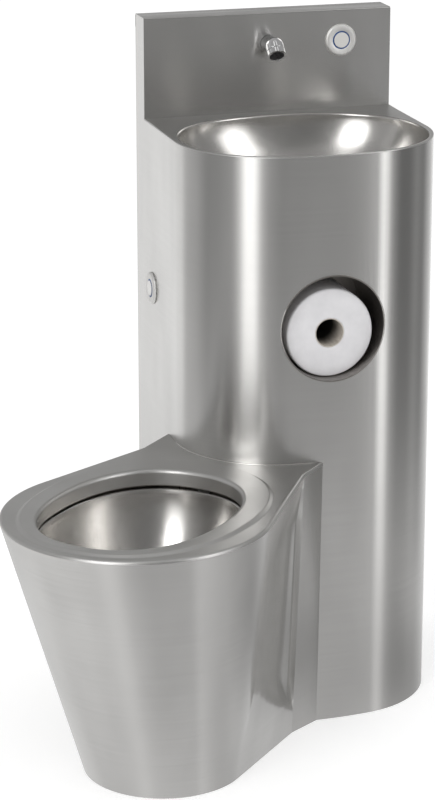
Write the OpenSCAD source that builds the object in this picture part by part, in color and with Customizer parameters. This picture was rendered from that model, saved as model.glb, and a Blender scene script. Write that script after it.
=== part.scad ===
// Toilet and basin combination unit in stainless steel sheet.
// The origin is on the floor, in the wall plane, at the middle of the column's back.
// X runs to the right as seen from the front, the front faces -Y, and Z is up.

/* [Column] */
// Width of the column and of the splashback
unit_w = 400; // [380:5:440]
// Height of the column's deck above the floor
deck_h = 890; // [860:5:920]
// Height of the splashback above the deck
splash_h = 155; // [130:5:190]
// Depth of the splashback box from the wall
splash_d = 48; // [40:1:54]
// Length of the flat sides from the wall
side_flat = 217; // [205:1:225]
// Radius of the column's front corners
corner_r = 152; // [140:1:160]
// Radius of the column's front
front_r = 576; // [520:1:640]
// Thickness of the outer sheets
sheet = 2; // [1.5:0.1:2.5]

/* [Basin] */
// Land of the deck beside the basin opening
side_land = 11.5; // [11:0.5:16]
// Half the depth of the basin opening
basin_b = 146; // [143:0.5:147]
// Depth of the basin under the deck
basin_depth = 135; // [110:1:145]
// Land of the deck in front of the basin opening
front_land = 3.7; // [3.5:0.1:5]
// Thickness of the bowls
bowl_t = 1.5; // [1:0.1:2]
// Diameter of the hole in the basin for its waste
waste_hole_d = 46; // [40:1:52]

/* [Pan] */
// Height of the seat above the floor
seat_h = 420; // [400:5:440]
// Angle of the pan to the wall
pan_angle = 45; // [43:0.5:47]
// Distance from the wall to the point where the pan's axis crosses the column's middle
pan_root = 164; // [158:1:170]
// Distance along the axis to the middle of the rim's round front
rim_u = 480; // [465:1:495]
// Radius of the rim's round front
rim_r = 196; // [188:1:204]
// Distance along the axis to the middle of the foot's round front
foot_u = 405; // [395:1:415]
// Radius of the foot's round front
foot_r = 121; // [115:1:130]
// Half the width of the neck at the rim
neck_v = 136; // [130:1:142]
// Half the width of the neck at the floor
neck_foot_v = 119; // [112:1:126]
// Distance along the axis to the end of the neck's side plates
plate_u = 221; // [214:1:228]
// Half the length of the bowl opening
mouth_a = 170; // [160:1:172]
// Half the width of the bowl opening
mouth_b = 130; // [120:1:132]
// Height of the pressed seat above the rim
seat_rise = 4; // [2:0.5:6]

/* [Roll recess] */
// Diameter of the recess
recess_d = 160; // [150:1:166]
// Distance of the recess's middle below the deck
recess_drop = 263; // [250:1:275]
// Depth of the recess behind the column's front
recess_depth = 122; // [118:1:123]
// Diameter of the paper roll
roll_d = 135; // [120:1:140]
// Length of the paper roll
roll_w = 96; // [88:1:98]
// Diameter of the hole through the roll's core
core_d = 42; // [38:1:46]

/* [Tap] */
// Distance of the spout's tube below the splashback's top
spout_drop = 48; // [40:1:60]
// Diameter of the spout's tube
spout_d = 26; // [22:1:28]
// Length of the spout's tube in front of the splashback
spout_l = 28; // [24:1:34]
// Diameter of the spout's head
head_d = 29; // [27:0.5:31]

/* [Push buttons] */
// Diameter of a button's bezel
bezel_d = 50; // [46:1:54]
// Diameter of a button's lit ring
halo_d = 28; // [26:0.5:32]
// Travel of a button
button_travel = 2; // [1:0.1:2.2]
// Place of the tap button to the right of the middle
tap_button_x = 118; // [100:1:130]
// Distance of the flush button from the wall
flush_button_y = 87; // [80:1:100]
// Distance of the flush button below the deck
flush_button_drop = 259; // [245:1:275]

/* [Pipes] */
// Outer diameter of the soil outlet
soil_d = 102; // [100:1:104]
// Height of the soil outlet's middle above the floor
soil_z = 190; // [185:1:195]
// Outer diameter of the pan's trap
trap_d = 84; // [78:1:86]
// Outer diameter of the basin waste
waste_d = 40; // [38:1:42]
// Outer diameter of the flush pipe
flush_d = 28; // [26:1:30]
// Outer diameter of the water pipes
water_d = 15; // [12:1:16]
// Outer diameter of the water inlet's thread
inlet_d = 20.96; // [20.9:0.01:21]

/* [Fixings] */
// Diameter of the wall fixing holes
wall_hole_d = 11; // [9:0.5:13]
// Distance between the wall fixing holes, up
wall_pitch_z = 700; // [650:5:740]
// Diameter of the floor fixing holes
floor_hole_d = 9; // [7:0.5:11]
// Distance between the floor fixing holes, front to back
floor_pitch = 120; // [100:5:130]

/* [Hidden] */
$fn = 96;

// Clearance between pieces that are made apart
gap = 0.3;
// Clearance round a push button's cap, which slides
slide_gap = 0.25;
// Overrun of every cut
over = 1;

corner_x = unit_w/2 - corner_r;
front_cy = -side_flat + sqrt(pow(front_r - corner_r, 2) - corner_x*corner_x);
front_y = front_cy - front_r;
wall_top = deck_h - sheet;
top_h = deck_h + splash_h;
spout_z = top_h - spout_drop;
recess_z = deck_h - recess_drop;
flush_button_z = deck_h - flush_button_drop;
corner_cols = 20;
front_cols = 8;
weld_gap = 0.1;
running = 0.1;
pipe_t = 2;
nut_t = 6;
nut_d = 30;
gasket_t = 1;
wall_inset = 5;
elbow_t = 1.5;
elbow_lip = 0.5;

// The basin, its waste and its trap
oval_cols = 48;
basin_a = unit_w/2 - side_land;
basin_y = -(front_y + front_land + basin_b);
basin_share = 2.29;
curve_share = 1.2;
rim_drop = 4;
strainer_d = 70;
strainer_land = 5;
strainer_t = 3;
core_cut = 12;
grid_hole_d = 6;
tail_l = 45;
waste_r = 40;
waste_leg = 58;
waste_rise = 70;
trap_top_z = wall_top - basin_depth - tail_l;
waste_low_z = trap_top_z - waste_leg;
waste_z = waste_low_z + waste_rise;
union_l = 16;
union_t = 6;

// The frame and the fixings behind the sheets
back_flange = 20;
frame_t = 4;
bar_w = 30;
bar_z = [0, 270, 545, wall_top - bar_w];
wall_hole_z = 90;
wall_pitch_x = unit_w - 2*sheet - bar_w;
angle_w = 30;
angle_t = 3;
angle_y = 200;
angle_l = 160;
floor_hole_side = 18;
floor_hole_x = unit_w/2 - sheet - floor_hole_side;

// The pan's skirt
neck_u = 60;
neck_flare = 35;
window_land = 25;
window_reach = 20;
window_drop = 8;
window_v = neck_foot_v - window_land;
window_l = corner_r + window_reach;
window_z0 = 30;
window_z1 = seat_h - window_drop;
edge_r = 5;
rim_z = seat_h - edge_r;
hollow_z0 = 41;
hollow_z1 = 138;
hollow_drop = 75;
hollow_z2 = seat_h - hollow_drop;
hollow_depth = 13;
hollow_run = 36;
hollow_cols = [0.05, 0.13, 0.26, 0.45, 0.7];
crease_angle = 107;
arc_cols = 10;

// The pan's top, bowl and flush channel
mouth_back = 10;
mouth_u = rim_u - mouth_back;
mouth_share = 2.25;
step_back = 25;
land_a = 37;
land_b = 35;
step_u = rim_u - step_back;
step_a = mouth_a + land_a;
step_b = mouth_b + land_b;
step_share = 2.2;
step_w = 8;
lip_r = 6;
lip_lean = 1;
lip_drop = 20;
bowl_gap = 6;
lip_z = seat_h - lip_drop;
bowl_z = lip_z - bowl_gap;
channel_w = 18;
channel_leg = 20;
channel_drop = 6;
channel_z = lip_z - channel_leg;
channel_top = seat_h - channel_drop;
channel_h = 16;
flush_drop = 24;
flush_z = seat_h - flush_drop;
pan_share = 1.4;

// The pan's trap and the soil pipe
outlet_back = 37;
outlet_u = foot_u + outlet_back;
outlet_r = trap_d/2 - pipe_t;
trap_drop = 206;
trap_z = seat_h - trap_drop;
trap_r = 55;
trap_riser = 20;
trap_low_z = soil_z - trap_r - trap_riser;
trap_run = 60;
soil_r = 110;
seal_l = 10;

// The paper roll, which lies on the bottom of the recess
roll_z = recess_z - recess_d/2 + gap + roll_d/2;
roll_back_gap = 4;
roll_y = front_y + recess_depth - sheet - roll_back_gap;
roll_edge = 2;
core_t = 1.5;

// The spout
tail_d = 20;
tail_back = 11;
head_tilt = 135;
head_l = 8.5;
head_cols = 12;
ring_l = 9.5;
groove = 1;
aerator_d = 22;
jet_d = 3;
water_bore = 10;

// The push buttons
barrel_d = 22;
barrel_t = 2;
barrel_l = 26;
bezel_t = 4;
bezel_edge = 1.5;
web_t = 1;
halo_proud = 0.2;
cap_d = halo_d - 4;
cap_t = 2;
cap_edge = 0.5;
stem_d = 8;
stem_l = 12;
spring_d = 13;
spring_t = 1;
switch_z = 6;
terminal_l = 4;

// The water supply
supply_y = 28;
supply_z = flush_z;
valve_d = 28;
valve_x = 130;
valve_reach = 25;
inlet_l = supply_y - valve_d/2 - 1;
spindle_d = 8;
spindle_l = 10;
hub_d = 16;
lever_l = 50;
lever_w = 10;
lever_t = 4;
branch_x = 80;
branch_drop = 303;
branch_h = wall_top - branch_drop - supply_z;
flush_valve_x = 45;
flush_boss_l = 60;
flush_r = 60;
coil_d = 36;
coil_z = 18;
coil_h = 45;
tap_valve_h = 60;
tap_pipe_d = 12;
tap_r = 37;
clip_t = 3;

// The control box
box_d = 43;
box_l = 100;
box_h = 100;
box_y = 150;
box_drop = 250;
box_z = deck_h - box_drop;
box_t = 8;
lid_t = 3;
screw_d = 4;
screw_l = 12;
head_t = 3;

function unit(v) = v/norm(v);
function mix(a, b, t) = a + (b - a)*t;
function spread(a, b, n) = [for (k = [0:n - 1]) mix(a, b, k/n)];

// Signed power for the ovals
function spow(x, p) = sign(x)*pow(abs(x), p);
// A point of an oval that is a little squarer than an ellipse
function oval(a, b, n, t) = [a*spow(cos(t), 2/n), b*spow(sin(t), 2/n)];

// A closed sheet solid between two grids of points, wrapped round where wrap is true
module sheet_solid(front, back, wrap) {
    rows = len(front);
    cols = len(front[0]);
    last = wrap ? cols : cols - 1;
    half = rows*cols;
    points = concat([for (row = front) each row], [for (row = back) each row]);
    f = function(i, j) i*cols + j % cols;
    b = function(i, j) half + i*cols + j % cols;
    quad = function(p, q, r, s) [[p, r, q], [p, s, r]];
    skins = [
        for (i = [0:rows - 2]) for (j = [0:last - 1]) each concat(
            quad(f(i, j), f(i, j + 1), f(i + 1, j + 1), f(i + 1, j)),
            quad(b(i, j), b(i + 1, j), b(i + 1, j + 1), b(i, j + 1)))
    ];
    rims = [
        for (j = [0:last - 1]) each concat(
            quad(f(0, j), b(0, j), b(0, j + 1), f(0, j + 1)),
            quad(f(rows - 1, j), f(rows - 1, j + 1), b(rows - 1, j + 1), b(rows - 1, j)))
    ];
    ends = wrap ? [] : [
        for (i = [0:rows - 2]) each concat(
            quad(f(i, 0), f(i + 1, 0), b(i + 1, 0), b(i, 0)),
            quad(f(i, cols - 1), b(i, cols - 1), b(i + 1, cols - 1), f(i + 1, cols - 1)))
    ];
    polyhedron(points, concat(skins, rims, ends), convexity = 6);
}

// Points along an arc, without its last one
function arc(centre, r, a0, a1, n) = [for (k = [0:n - 1])
    let (a = mix(a0, a1, k/n)) centre + r*[cos(a), sin(a)]];

// The column's plan, drawn in by the same distance all round its front
module column_plan(inset) {
    blend = atan2(front_cy + side_flat, corner_x);
    polygon(concat(
        [[unit_w/2 - inset, 0]],
        arc([corner_x, -side_flat], corner_r - inset, 0, -blend, corner_cols),
        arc([0, front_cy], front_r - inset, -blend, blend - 180, front_cols),
        arc([-corner_x, -side_flat], corner_r - inset, blend - 180, -180, corner_cols),
        [[-unit_w/2 + inset, -side_flat], [-unit_w/2 + inset, 0]]
    ));
}

module column_body(inset, z0, z1) {
    translate([0, 0, z0]) linear_extrude(z1 - z0) column_plan(inset);
}

// Turns what is drawn along +X to lie along the pan's axis
module on_pan_axis() {
    translate([0, -pan_root, 0]) rotate([0, 0, 180 + pan_angle]) children();
}

// A round tube along +Z with its bore
module tube(od, id, h) {
    difference() {
        cylinder(h = h, d = od);
        translate([0, 0, -over]) cylinder(h = h + 2*over, d = id);
    }
}

// A bend of a tube: it starts at the origin along +Z and turns towards +X
module bend(od, id, r, angle) {
    translate([r, 0, 0]) rotate([90, 0, 0]) rotate([0, 0, 180 - angle]) rotate_extrude(angle = angle)
        translate([r, 0]) difference() {
            circle(d = od);
            circle(d = id);
        }
}

// The wrapped sheet with its flat sides, round front and two ears beside the splashback
module column_shell() {
    color("silver") difference() {
        union() {
            difference() {
                column_body(0, 0, wall_top);
                column_body(sheet, -over, wall_top + over);
                translate([-unit_w/2 + sheet, -side_flat, -over])
                    cube([unit_w - 2*sheet, side_flat + over, wall_top + 2*over]);
            }
            for (side = [0, 1]) mirror([side, 0, 0]) translate([unit_w/2 - sheet, -splash_d + sheet, wall_top])
                cube([sheet, splash_d - sheet, top_h - sheet - wall_top]);
        }
        translate([0, front_y - over, recess_z]) rotate([-90, 0, 0])
            cylinder(h = recess_depth, d = recess_d + 2*sheet + 2*weld_gap);
        translate([-unit_w/2 - over, -flush_button_y, flush_button_z]) rotate([0, 90, 0])
            cylinder(h = sheet + 2*over, d = barrel_d + 2*gap);
        on_pan_axis() translate([neck_u, -window_v, window_z0])
            cube([window_l, 2*window_v, window_z1 - window_z0]);
    }
}

// The flat deck round the basin opening
module deck_plate() {
    color("silver") translate([0, 0, wall_top]) linear_extrude(sheet) difference() {
        column_plan(0);
        translate([-unit_w/2 - over, -splash_d + sheet]) square([unit_w + 2*over, splash_d]);
        translate([0, -basin_y]) polygon([for (k = [0:oval_cols - 1])
            oval(basin_a, basin_b, basin_share, 360*k/oval_cols)]);
    }
}

// The folded splashback with its front, top and back flange
module splashback_panel() {
    color("silver") difference() {
        union() {
            translate([-unit_w/2, -splash_d, deck_h]) cube([unit_w, sheet, splash_h]);
            translate([-unit_w/2, -splash_d, top_h - sheet]) cube([unit_w, splash_d, sheet]);
            translate([-unit_w/2 + sheet, -sheet, top_h - sheet - back_flange])
                cube([unit_w - 2*sheet, sheet, back_flange]);
        }
        translate([0, -splash_d - over, spout_z]) rotate([-90, 0, 0])
            cylinder(h = sheet + 2*over, d = tail_d + 2*gap);
        translate([tap_button_x, -splash_d - over, spout_z]) rotate([-90, 0, 0])
            cylinder(h = sheet + 2*over, d = barrel_d + 2*gap);
    }
}

// The ladder frame of flat bar that closes the column's back edges and takes the wall studs
module back_frame() {
    color("gray") difference() {
        translate([-unit_w/2 + sheet, -frame_t, 0]) cube([unit_w - 2*sheet, frame_t, wall_top]);
        for (k = [0:len(bar_z) - 2])
            translate([-unit_w/2 + sheet + bar_w, -frame_t - over, bar_z[k] + bar_w])
                cube([unit_w - 2*sheet - 2*bar_w, frame_t + 2*over, bar_z[k + 1] - bar_z[k] - bar_w]);
        for (x = [-1, 1], z = [0, 1])
            translate([x*wall_pitch_x/2, -frame_t - over, wall_hole_z + z*wall_pitch_z]) rotate([-90, 0, 0])
                cylinder(h = frame_t + 2*over, d = wall_hole_d);
    }
}

module floor_angle() {
    difference() {
        union() {
            translate([unit_w/2 - sheet - angle_w, -angle_y, 0]) cube([angle_w, angle_l, angle_t]);
            translate([unit_w/2 - sheet - angle_t, -angle_y, 0]) cube([angle_t, angle_l, angle_w]);
        }
        for (y = [-1, 1])
            translate([floor_hole_x, -angle_y + angle_l/2 + y*floor_pitch/2, -over])
                cylinder(h = angle_t + 2*over, d = floor_hole_d);
    }
}

module floor_angle_right() { color("gray") floor_angle(); }
module floor_angle_left() { color("gray") mirror([1, 0, 0]) floor_angle(); }

// A ring of a bowl: its middle along X, half sizes, height and squareness
function bowl_ring(r) = [for (k = [0:oval_cols - 1])
    let (p = oval(r[1], r[2], r[4], 360*k/oval_cols)) [r[0] + p.x, p.y, r[3]]];

// The same ring moved out through the bowl's wall, square to the slope between its neighbours
function bowl_back(rings, i, t) =
    let (
        a = rings[max(i - 1, 0)],
        b = rings[min(i + 1, len(rings) - 1)],
        slope = unit([b[1] + b[2] - a[1] - a[2], 2*(b[3] - a[3])]),
        r = rings[i]
    )
    bowl_ring([r[0], r[1] - t*slope.y, r[2] - t*slope.y, r[3] + t*slope.x, r[4]]);

module bowl(rings, t) {
    sheet_solid([for (r = rings) bowl_ring(r)], [for (i = [0:len(rings) - 1]) bowl_back(rings, i, t)], true);
}

// The basin: its wall follows a rounded curve down to a flat ring round the waste
module basin_bowl() {
    top = [[0, basin_a, basin_b, 0, basin_share], [0, basin_a, basin_b, -rim_drop, basin_share]];
    curve = [for (t = [8:10:68]) [
        0,
        mix(strainer_d/2 + strainer_land, basin_a, pow(cos(t), curve_share)),
        mix(strainer_d/2 + strainer_land, basin_b, pow(cos(t), curve_share)),
        -rim_drop - (basin_depth - rim_drop)*pow(sin(t), curve_share),
        mix(basin_share, 2, t/90)
    ]];
    floor_ring = [for (r = [strainer_d/2 + strainer_land, core_cut]) [0, r, r, -basin_depth, 2]];
    color("gainsboro") translate([0, -basin_y, wall_top]) difference() {
        bowl(concat(top, curve, floor_ring), bowl_t);
        translate([0, 0, -basin_depth - bowl_t - over]) cylinder(h = bowl_t + 2*over, d = waste_hole_d);
    }
}

// The domed grid of the waste with its threaded tail
module basin_strainer() {
    color("silver") translate([0, -basin_y, wall_top - basin_depth]) difference() {
        union() {
            rotate_extrude() polygon([
                [0, strainer_t], [strainer_d/2 - strainer_t, strainer_t], [strainer_d/2, strainer_t/2],
                [strainer_d/2, 0], [waste_d/2, 0], [waste_d/2, -tail_l], [waste_d/2 - pipe_t, -tail_l],
                [waste_d/2 - pipe_t, -strainer_t], [0, -strainer_t]
            ]);
        }
        for (k = [0:5]) rotate([0, 0, 60*k]) translate([waste_d/4, 0, -strainer_t - over])
            cylinder(h = 2*strainer_t + 2*over, d = grid_hole_d);
        translate([0, 0, -strainer_t - over]) cylinder(h = 2*strainer_t + 2*over, d = grid_hole_d);
    }
}

module strainer_gasket() {
    color("dimgray") translate([0, -basin_y, wall_top - basin_depth - bowl_t - gasket_t])
        tube(strainer_d, waste_d + 2*slide_gap, gasket_t);
}

module strainer_nut() {
    color("gray") translate([0, -basin_y, wall_top - basin_depth - bowl_t - gasket_t - nut_t]) difference() {
        cylinder(h = nut_t, d = strainer_d, $fn = 6);
        translate([0, 0, -over]) cylinder(h = nut_t + 2*over, d = waste_d + 2*slide_gap);
    }
}

// The trap under the basin, from the strainer's tail to the wall
module basin_trap() {
    bore = waste_d - 2*pipe_t;
    color("silver") translate([0, -basin_y, 0]) rotate([0, 0, 90]) {
        translate([0, 0, waste_low_z]) tube(waste_d, bore, trap_top_z - waste_low_z);
        translate([2*waste_r, 0, waste_low_z]) rotate([180, 0, 180]) bend(waste_d, bore, waste_r, 180);
        translate([2*waste_r, 0, waste_low_z]) tube(waste_d, bore, waste_z - waste_r - waste_low_z);
        translate([2*waste_r, 0, waste_z - waste_r]) bend(waste_d, bore, waste_r, 90);
        translate([3*waste_r, 0, waste_z]) rotate([0, 90, 0])
            tube(waste_d, bore, basin_y - 3*waste_r - wall_inset);
    }
}

module trap_union_nuts() {
    color("gray") translate([0, -basin_y, 0]) rotate([0, 0, 90])
        for (place = [[0, trap_top_z - union_l], [2*waste_r, waste_low_z + union_l/2]])
            translate([place.x, 0, place.y]) tube(waste_d + 2*union_t, waste_d + 2*slide_gap, union_l);
}

// How far up the pan a height lies, from the floor to the rim's edge
function up(z) = z/rim_z;
function round_u(z) = mix(foot_u, rim_u, up(z));
function round_r(z) = mix(foot_r, rim_r, up(z));
function neck_w(z) = mix(neck_foot_v, neck_v, up(z));
// The angle at which a line from the side plate's end touches the round front
function touch(z) = 90 + atan2(-neck_w(z), round_u(z) - plate_u)
    + asin(round_r(z)/norm([round_u(z) - plate_u, neck_w(z)]));
// How far the hollow beside the side plate has opened at a height, from 0 at the foot to 1
function opened(z) = let (t = min(max((z - hollow_z0)/(hollow_z1 - hollow_z0), 0), 1)) t*t*(3 - 2*t);
// How deep that hollow is at a height and a share t of its width: it starts lower beside the
// plate, is deepest there, runs out softly towards the front, and dies out again towards the rim
function scoop(t) = 3.08*sqrt(t)*pow(1 - t, 1.5);
function hollow(z, t) = hollow_depth*scoop(t)*min(max((z - mix(hollow_z0, hollow_z1, t))/hollow_run, 0), 1)
    *min(1, (rim_z - z)/(rim_z - hollow_z2));
function crease(z) = mix(touch(z), crease_angle, opened(z));
// The pan's outline on its right side at a height, from the column to the tip
function half_outline(z) =
    let (
        p = [plate_u, neck_w(z)],
        k = [round_u(z) + round_r(z)*cos(crease(z)), round_r(z)*sin(crease(z))],
        side = unit(k - p),
        flare = neck_w(z) + (1 - up(z))*neck_flare
    )
    concat(
        [[neck_u, flare], p],
        [for (t = hollow_cols) mix(p, k, t) + hollow(z, t)*[side.y, -side.x]],
        [for (s = [0:arc_cols]) let (t = crease(z)*(1 - s/arc_cols))
            [round_u(z) + round_r(z)*cos(t), round_r(z)*sin(t)]]
    );
function outline(z) = let (h = half_outline(z), n = len(h))
    concat(h, [for (i = [n - 2:-1:0]) [h[i].x, -h[i].y]]);
// The same outline moved in by a distance, square to its run
function inner_outline(z, d) = let (o = outline(z), n = len(o))
    [for (i = [0:n - 1]) let (run = unit(o[min(i + 1, n - 1)] - o[max(i - 1, 0)])) o[i] + d*[run.y, -run.x]];
function lift(path, z) = [for (p = path) [p.x, p.y, z]];

// The tapered skirt of the pan with its neck plates and the hollows beside them
module pan_skirt() {
    rows = concat([0, hollow_z0], [for (k = [1:4]) mix(hollow_z0, hollow_z1, k/4)],
        [for (k = [1:4]) mix(hollow_z1, hollow_z2, k/4)], [rim_z]);
    color("silver") difference() {
        on_pan_axis() sheet_solid([for (z = rows) lift(inner_outline(z, sheet), z)],
            [for (z = rows) lift(outline(z), z)], false);
        column_body(-weld_gap, -over, seat_h + over);
    }
}

// The distance from the middle of the rim's round front to its outline, in a direction
function rim_reach(t) =
    let (
        a = abs(t > 180 ? t - 360 : t),
        touch_a = touch(rim_z),
        plate_a = atan2(neck_v, plate_u - rim_u),
        end_a = atan2(neck_v, neck_u - rim_u)
    )
    a <= touch_a ? rim_r
        : a <= plate_a ? rim_r/cos(a - touch_a)
        : a <= end_a ? neck_v/sin(a)
        : (rim_u - neck_u)/-cos(a);
rim_half = concat(
    spread(0, touch(rim_z), 12),
    spread(touch(rim_z), atan2(neck_v, plate_u - rim_u), 5),
    spread(atan2(neck_v, plate_u - rim_u), atan2(neck_v, neck_u - rim_u), 3),
    spread(atan2(neck_v, neck_u - rim_u), 180, 3)
);
rim_angles = concat(rim_half, [180], [for (i = [len(rim_half) - 1:-1:1]) 360 - rim_half[i]]);
function rim_row(inset, z) = [for (t = rim_angles) let (r = rim_reach(t) - inset)
    [rim_u + r*cos(t), r*sin(t), z]];
function seat_row(extra, z) = [for (t = rim_angles) let (p = oval(mouth_a + extra, mouth_b + extra, mouth_share, t))
    [mouth_u + p.x, p.y, z]];
function step_row(shift, z) = [for (t = rim_angles)
    let (p = oval(step_a + shift, step_b + shift, step_share, t)) [step_u + p.x, p.y, z]];

// The pressed top of the pan: a rolled edge, a raised seat and a lip turned down into the bowl
module pan_top() {
    top = seat_h + seat_rise;
    skin = [
        rim_row(0, rim_z), rim_row(edge_r*0.3, seat_h - edge_r*0.3), rim_row(edge_r, seat_h),
        step_row(step_w/2, seat_h), step_row(0, seat_h + seat_rise/2), step_row(-step_w/2, top),
        seat_row(lip_r, top), seat_row(lip_r*0.3, top - lip_r*0.3), seat_row(0, top - lip_r),
        seat_row(lip_lean, lip_z)
    ];
    under = [
        rim_row(sheet, rim_z), rim_row(edge_r*0.3 + sheet*0.7, seat_h - edge_r*0.3 - sheet*0.7),
        rim_row(edge_r, seat_h - sheet), step_row(step_w/2, seat_h - sheet),
        step_row(0, seat_h + seat_rise/2 - sheet), step_row(-step_w/2, top - sheet),
        seat_row(lip_r, top - sheet), seat_row(lip_r*0.3 + sheet*0.7, top - lip_r*0.3 - sheet*0.7),
        seat_row(sheet, top - lip_r), seat_row(lip_lean + sheet, lip_z)
    ];
    color("silver") difference() {
        on_pan_axis() sheet_solid(skin, under, true);
        column_body(-weld_gap, rim_z - over, seat_h + seat_rise + over);
    }
}

// The bowl of the pan, with a channel round its rim and its outlet set back
module pan_bowl() {
    rim = [
        [mouth_u, mouth_a + channel_w, mouth_b + channel_w, channel_z, mouth_share],
        [mouth_u, mouth_a + channel_w/2, mouth_b + channel_w/2, channel_z, mouth_share],
        [mouth_u, mouth_a + lip_lean + sheet, mouth_b + lip_lean + sheet, bowl_z, mouth_share],
        [mouth_u, mouth_a, mouth_b, bowl_z - lip_r, mouth_share]
    ];
    wall = [for (t = [14:14:70]) [
        mix(mouth_u, outlet_u, 1 - cos(t)),
        mix(outlet_r, mouth_a, pow(cos(t), pan_share)),
        mix(outlet_r, mouth_b, pow(cos(t), pan_share)),
        mix(bowl_z - lip_r, trap_z, pow(sin(t), pan_share)),
        mix(mouth_share, 2, t/90)
    ]];
    outlet = [[outlet_u, outlet_r, outlet_r, trap_z + lip_r, 2], [outlet_u, outlet_r, outlet_r, trap_z, 2]];
    color("gainsboro") on_pan_axis() bowl(concat(rim, wall, outlet), bowl_t);
}

// The channel of sheet that carries the flush water round the rim, open below
module flush_rim() {
    rows = [
        [lip_lean + sheet + gap + bowl_t, channel_top - channel_h], [lip_lean + sheet + gap + bowl_t, channel_top],
        [channel_w, channel_top], [channel_w, channel_z + gap]
    ];
    inner = [
        [lip_lean + sheet + gap, channel_top - channel_h], [lip_lean + sheet + gap, channel_top + bowl_t],
        [channel_w + bowl_t, channel_top + bowl_t], [channel_w + bowl_t, channel_z + gap]
    ];
    color("gray") difference() {
        on_pan_axis() sheet_solid([for (r = rows) seat_row(r[0], r[1])], [for (r = inner) seat_row(r[0], r[1])], true);
        on_pan_axis() translate([mouth_u - mouth_a - channel_w - bowl_t - over, 0, flush_z]) rotate([0, 90, 0])
            cylinder(h = bowl_t + 3*over, d = flush_d - 2*pipe_t);
    }
}

// The pan's trap: down from the bowl, round and up again, then level towards the column
module pan_trap() {
    bore = trap_d - 2*pipe_t;
    turn_u = outlet_u - 2*trap_r;
    color("gray") on_pan_axis() {
        translate([outlet_u, 0, trap_low_z]) tube(trap_d, bore, trap_z - trap_low_z);
        translate([turn_u, 0, trap_low_z]) rotate([180, 0, 0]) bend(trap_d, bore, trap_r, 180);
        translate([turn_u, 0, trap_low_z]) tube(trap_d, bore, trap_riser);
        translate([turn_u, 0, trap_low_z + trap_riser]) rotate([0, 0, 180]) bend(trap_d, bore, trap_r, 90);
        translate([turn_u - trap_r - trap_run, 0, soil_z]) rotate([0, 90, 0]) tube(trap_d, bore, trap_run);
    }
}

// The soil pipe from the trap through the column to the wall
module soil_pipe() {
    bore = soil_d - 2*pipe_t;
    start_u = outlet_u - 3*trap_r - gap;
    leg = soil_r*tan((90 - pan_angle)/2);
    color("gray") {
        on_pan_axis() translate([leg - over, 0, soil_z]) rotate([0, 90, 0]) tube(soil_d, bore, start_u - leg + over);
        on_pan_axis() translate([leg, 0, soil_z]) rotate([90, 0, 0]) rotate([0, -90, 0])
            bend(soil_d + 2*elbow_t, bore - 2*elbow_lip, soil_r, 90 - pan_angle);
        translate([0, -wall_inset, soil_z]) rotate([90, 0, 0]) tube(soil_d, bore, pan_root - leg - wall_inset + over);
    }
}

// The rubber ring between the trap and the soil pipe
module soil_seal() {
    color("black") on_pan_axis() translate([outlet_u - 3*trap_r - trap_run + gap, 0, soil_z]) rotate([0, 90, 0])
        tube(soil_d - 2*pipe_t - 2*slide_gap, trap_d + 2*slide_gap, seal_l);
}

// The round sleeve that holds the paper roll, cut to the column's front
module recess_liner() {
    color("silver") intersection() {
        translate([0, front_y - over, recess_z]) rotate([-90, 0, 0])
            tube(recess_d + 2*sheet, recess_d, recess_depth - sheet + over);
        column_body(0, recess_z - recess_d, recess_z + recess_d);
    }
}

module recess_back() {
    color("gray") translate([0, front_y + recess_depth - sheet, recess_z]) rotate([-90, 0, 0])
        cylinder(h = sheet, d = recess_d + 2*sheet);
}

module toilet_roll() {
    color("white") translate([0, roll_y, roll_z]) rotate([90, 0, 0])
        rotate_extrude() polygon([
            [core_d/2 + core_t + running, 0], [roll_d/2 - roll_edge, 0], [roll_d/2, roll_edge],
            [roll_d/2, roll_w - roll_edge], [roll_d/2 - roll_edge, roll_w], [core_d/2 + core_t + running, roll_w]
        ]);
}

module roll_core() {
    color("tan") translate([0, roll_y, roll_z]) rotate([90, 0, 0]) tube(core_d + 2*core_t, core_d, roll_w);
}

// The spout: a threaded tail, a tube and a head that points down and forward
module spout() {
    head_y = splash_d + gasket_t + spout_l;
    color("silver") difference() {
        union() {
            translate([0, -head_y, spout_z]) rotate([-90, 0, 0]) cylinder(h = spout_l, d = spout_d);
            translate([0, -splash_d - gasket_t, spout_z]) rotate([-90, 0, 0]) cylinder(h = tail_back, d = tail_d);
            at_head(0) rotate_extrude() polygon(concat(
                arc([0, 0], head_d/2, -90, 0, head_cols), [[head_d/2, 0], [head_d/2, head_l], [0, head_l]]));
        }
        translate([0, -head_y, spout_z]) rotate([-90, 0, 0]) cylinder(h = spout_l + tail_back + over, d = water_bore);
        at_head(0) cylinder(h = head_l + over, d = water_bore);
        at_head(0) sphere(d = water_bore + 2*pipe_t);
    }
}

module at_head(l) {
    translate([0, -splash_d - gasket_t - spout_l, spout_z]) rotate([head_tilt, 0, 0]) translate([0, 0, l]) children();
}

// The screwed ring of the aerator, with a groove where it meets the head
module aerator_ring() {
    color("silver") at_head(head_l) rotate_extrude() polygon([
        [aerator_d/2 + slide_gap, 0], [head_d/2 - groove, 0], [head_d/2 - groove, groove], [head_d/2, groove],
        [head_d/2, ring_l - groove/2], [head_d/2 - groove/2, ring_l], [aerator_d/2 + slide_gap, ring_l]
    ]);
}

module aerator_insert() {
    color("dimgray") at_head(head_l + groove) difference() {
        cylinder(h = ring_l - 2*groove, d = aerator_d);
        for (k = [0:5]) rotate([0, 0, 60*k]) translate([aerator_d/3.4, 0, -over])
            cylinder(h = ring_l + 2*over, d = jet_d);
        translate([0, 0, -over]) cylinder(h = ring_l + 2*over, d = jet_d);
    }
}

module spout_gasket() {
    color("black") translate([0, -splash_d - gasket_t, spout_z]) rotate([-90, 0, 0])
        tube(spout_d, tail_d + 2*slide_gap, gasket_t);
}

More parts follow.
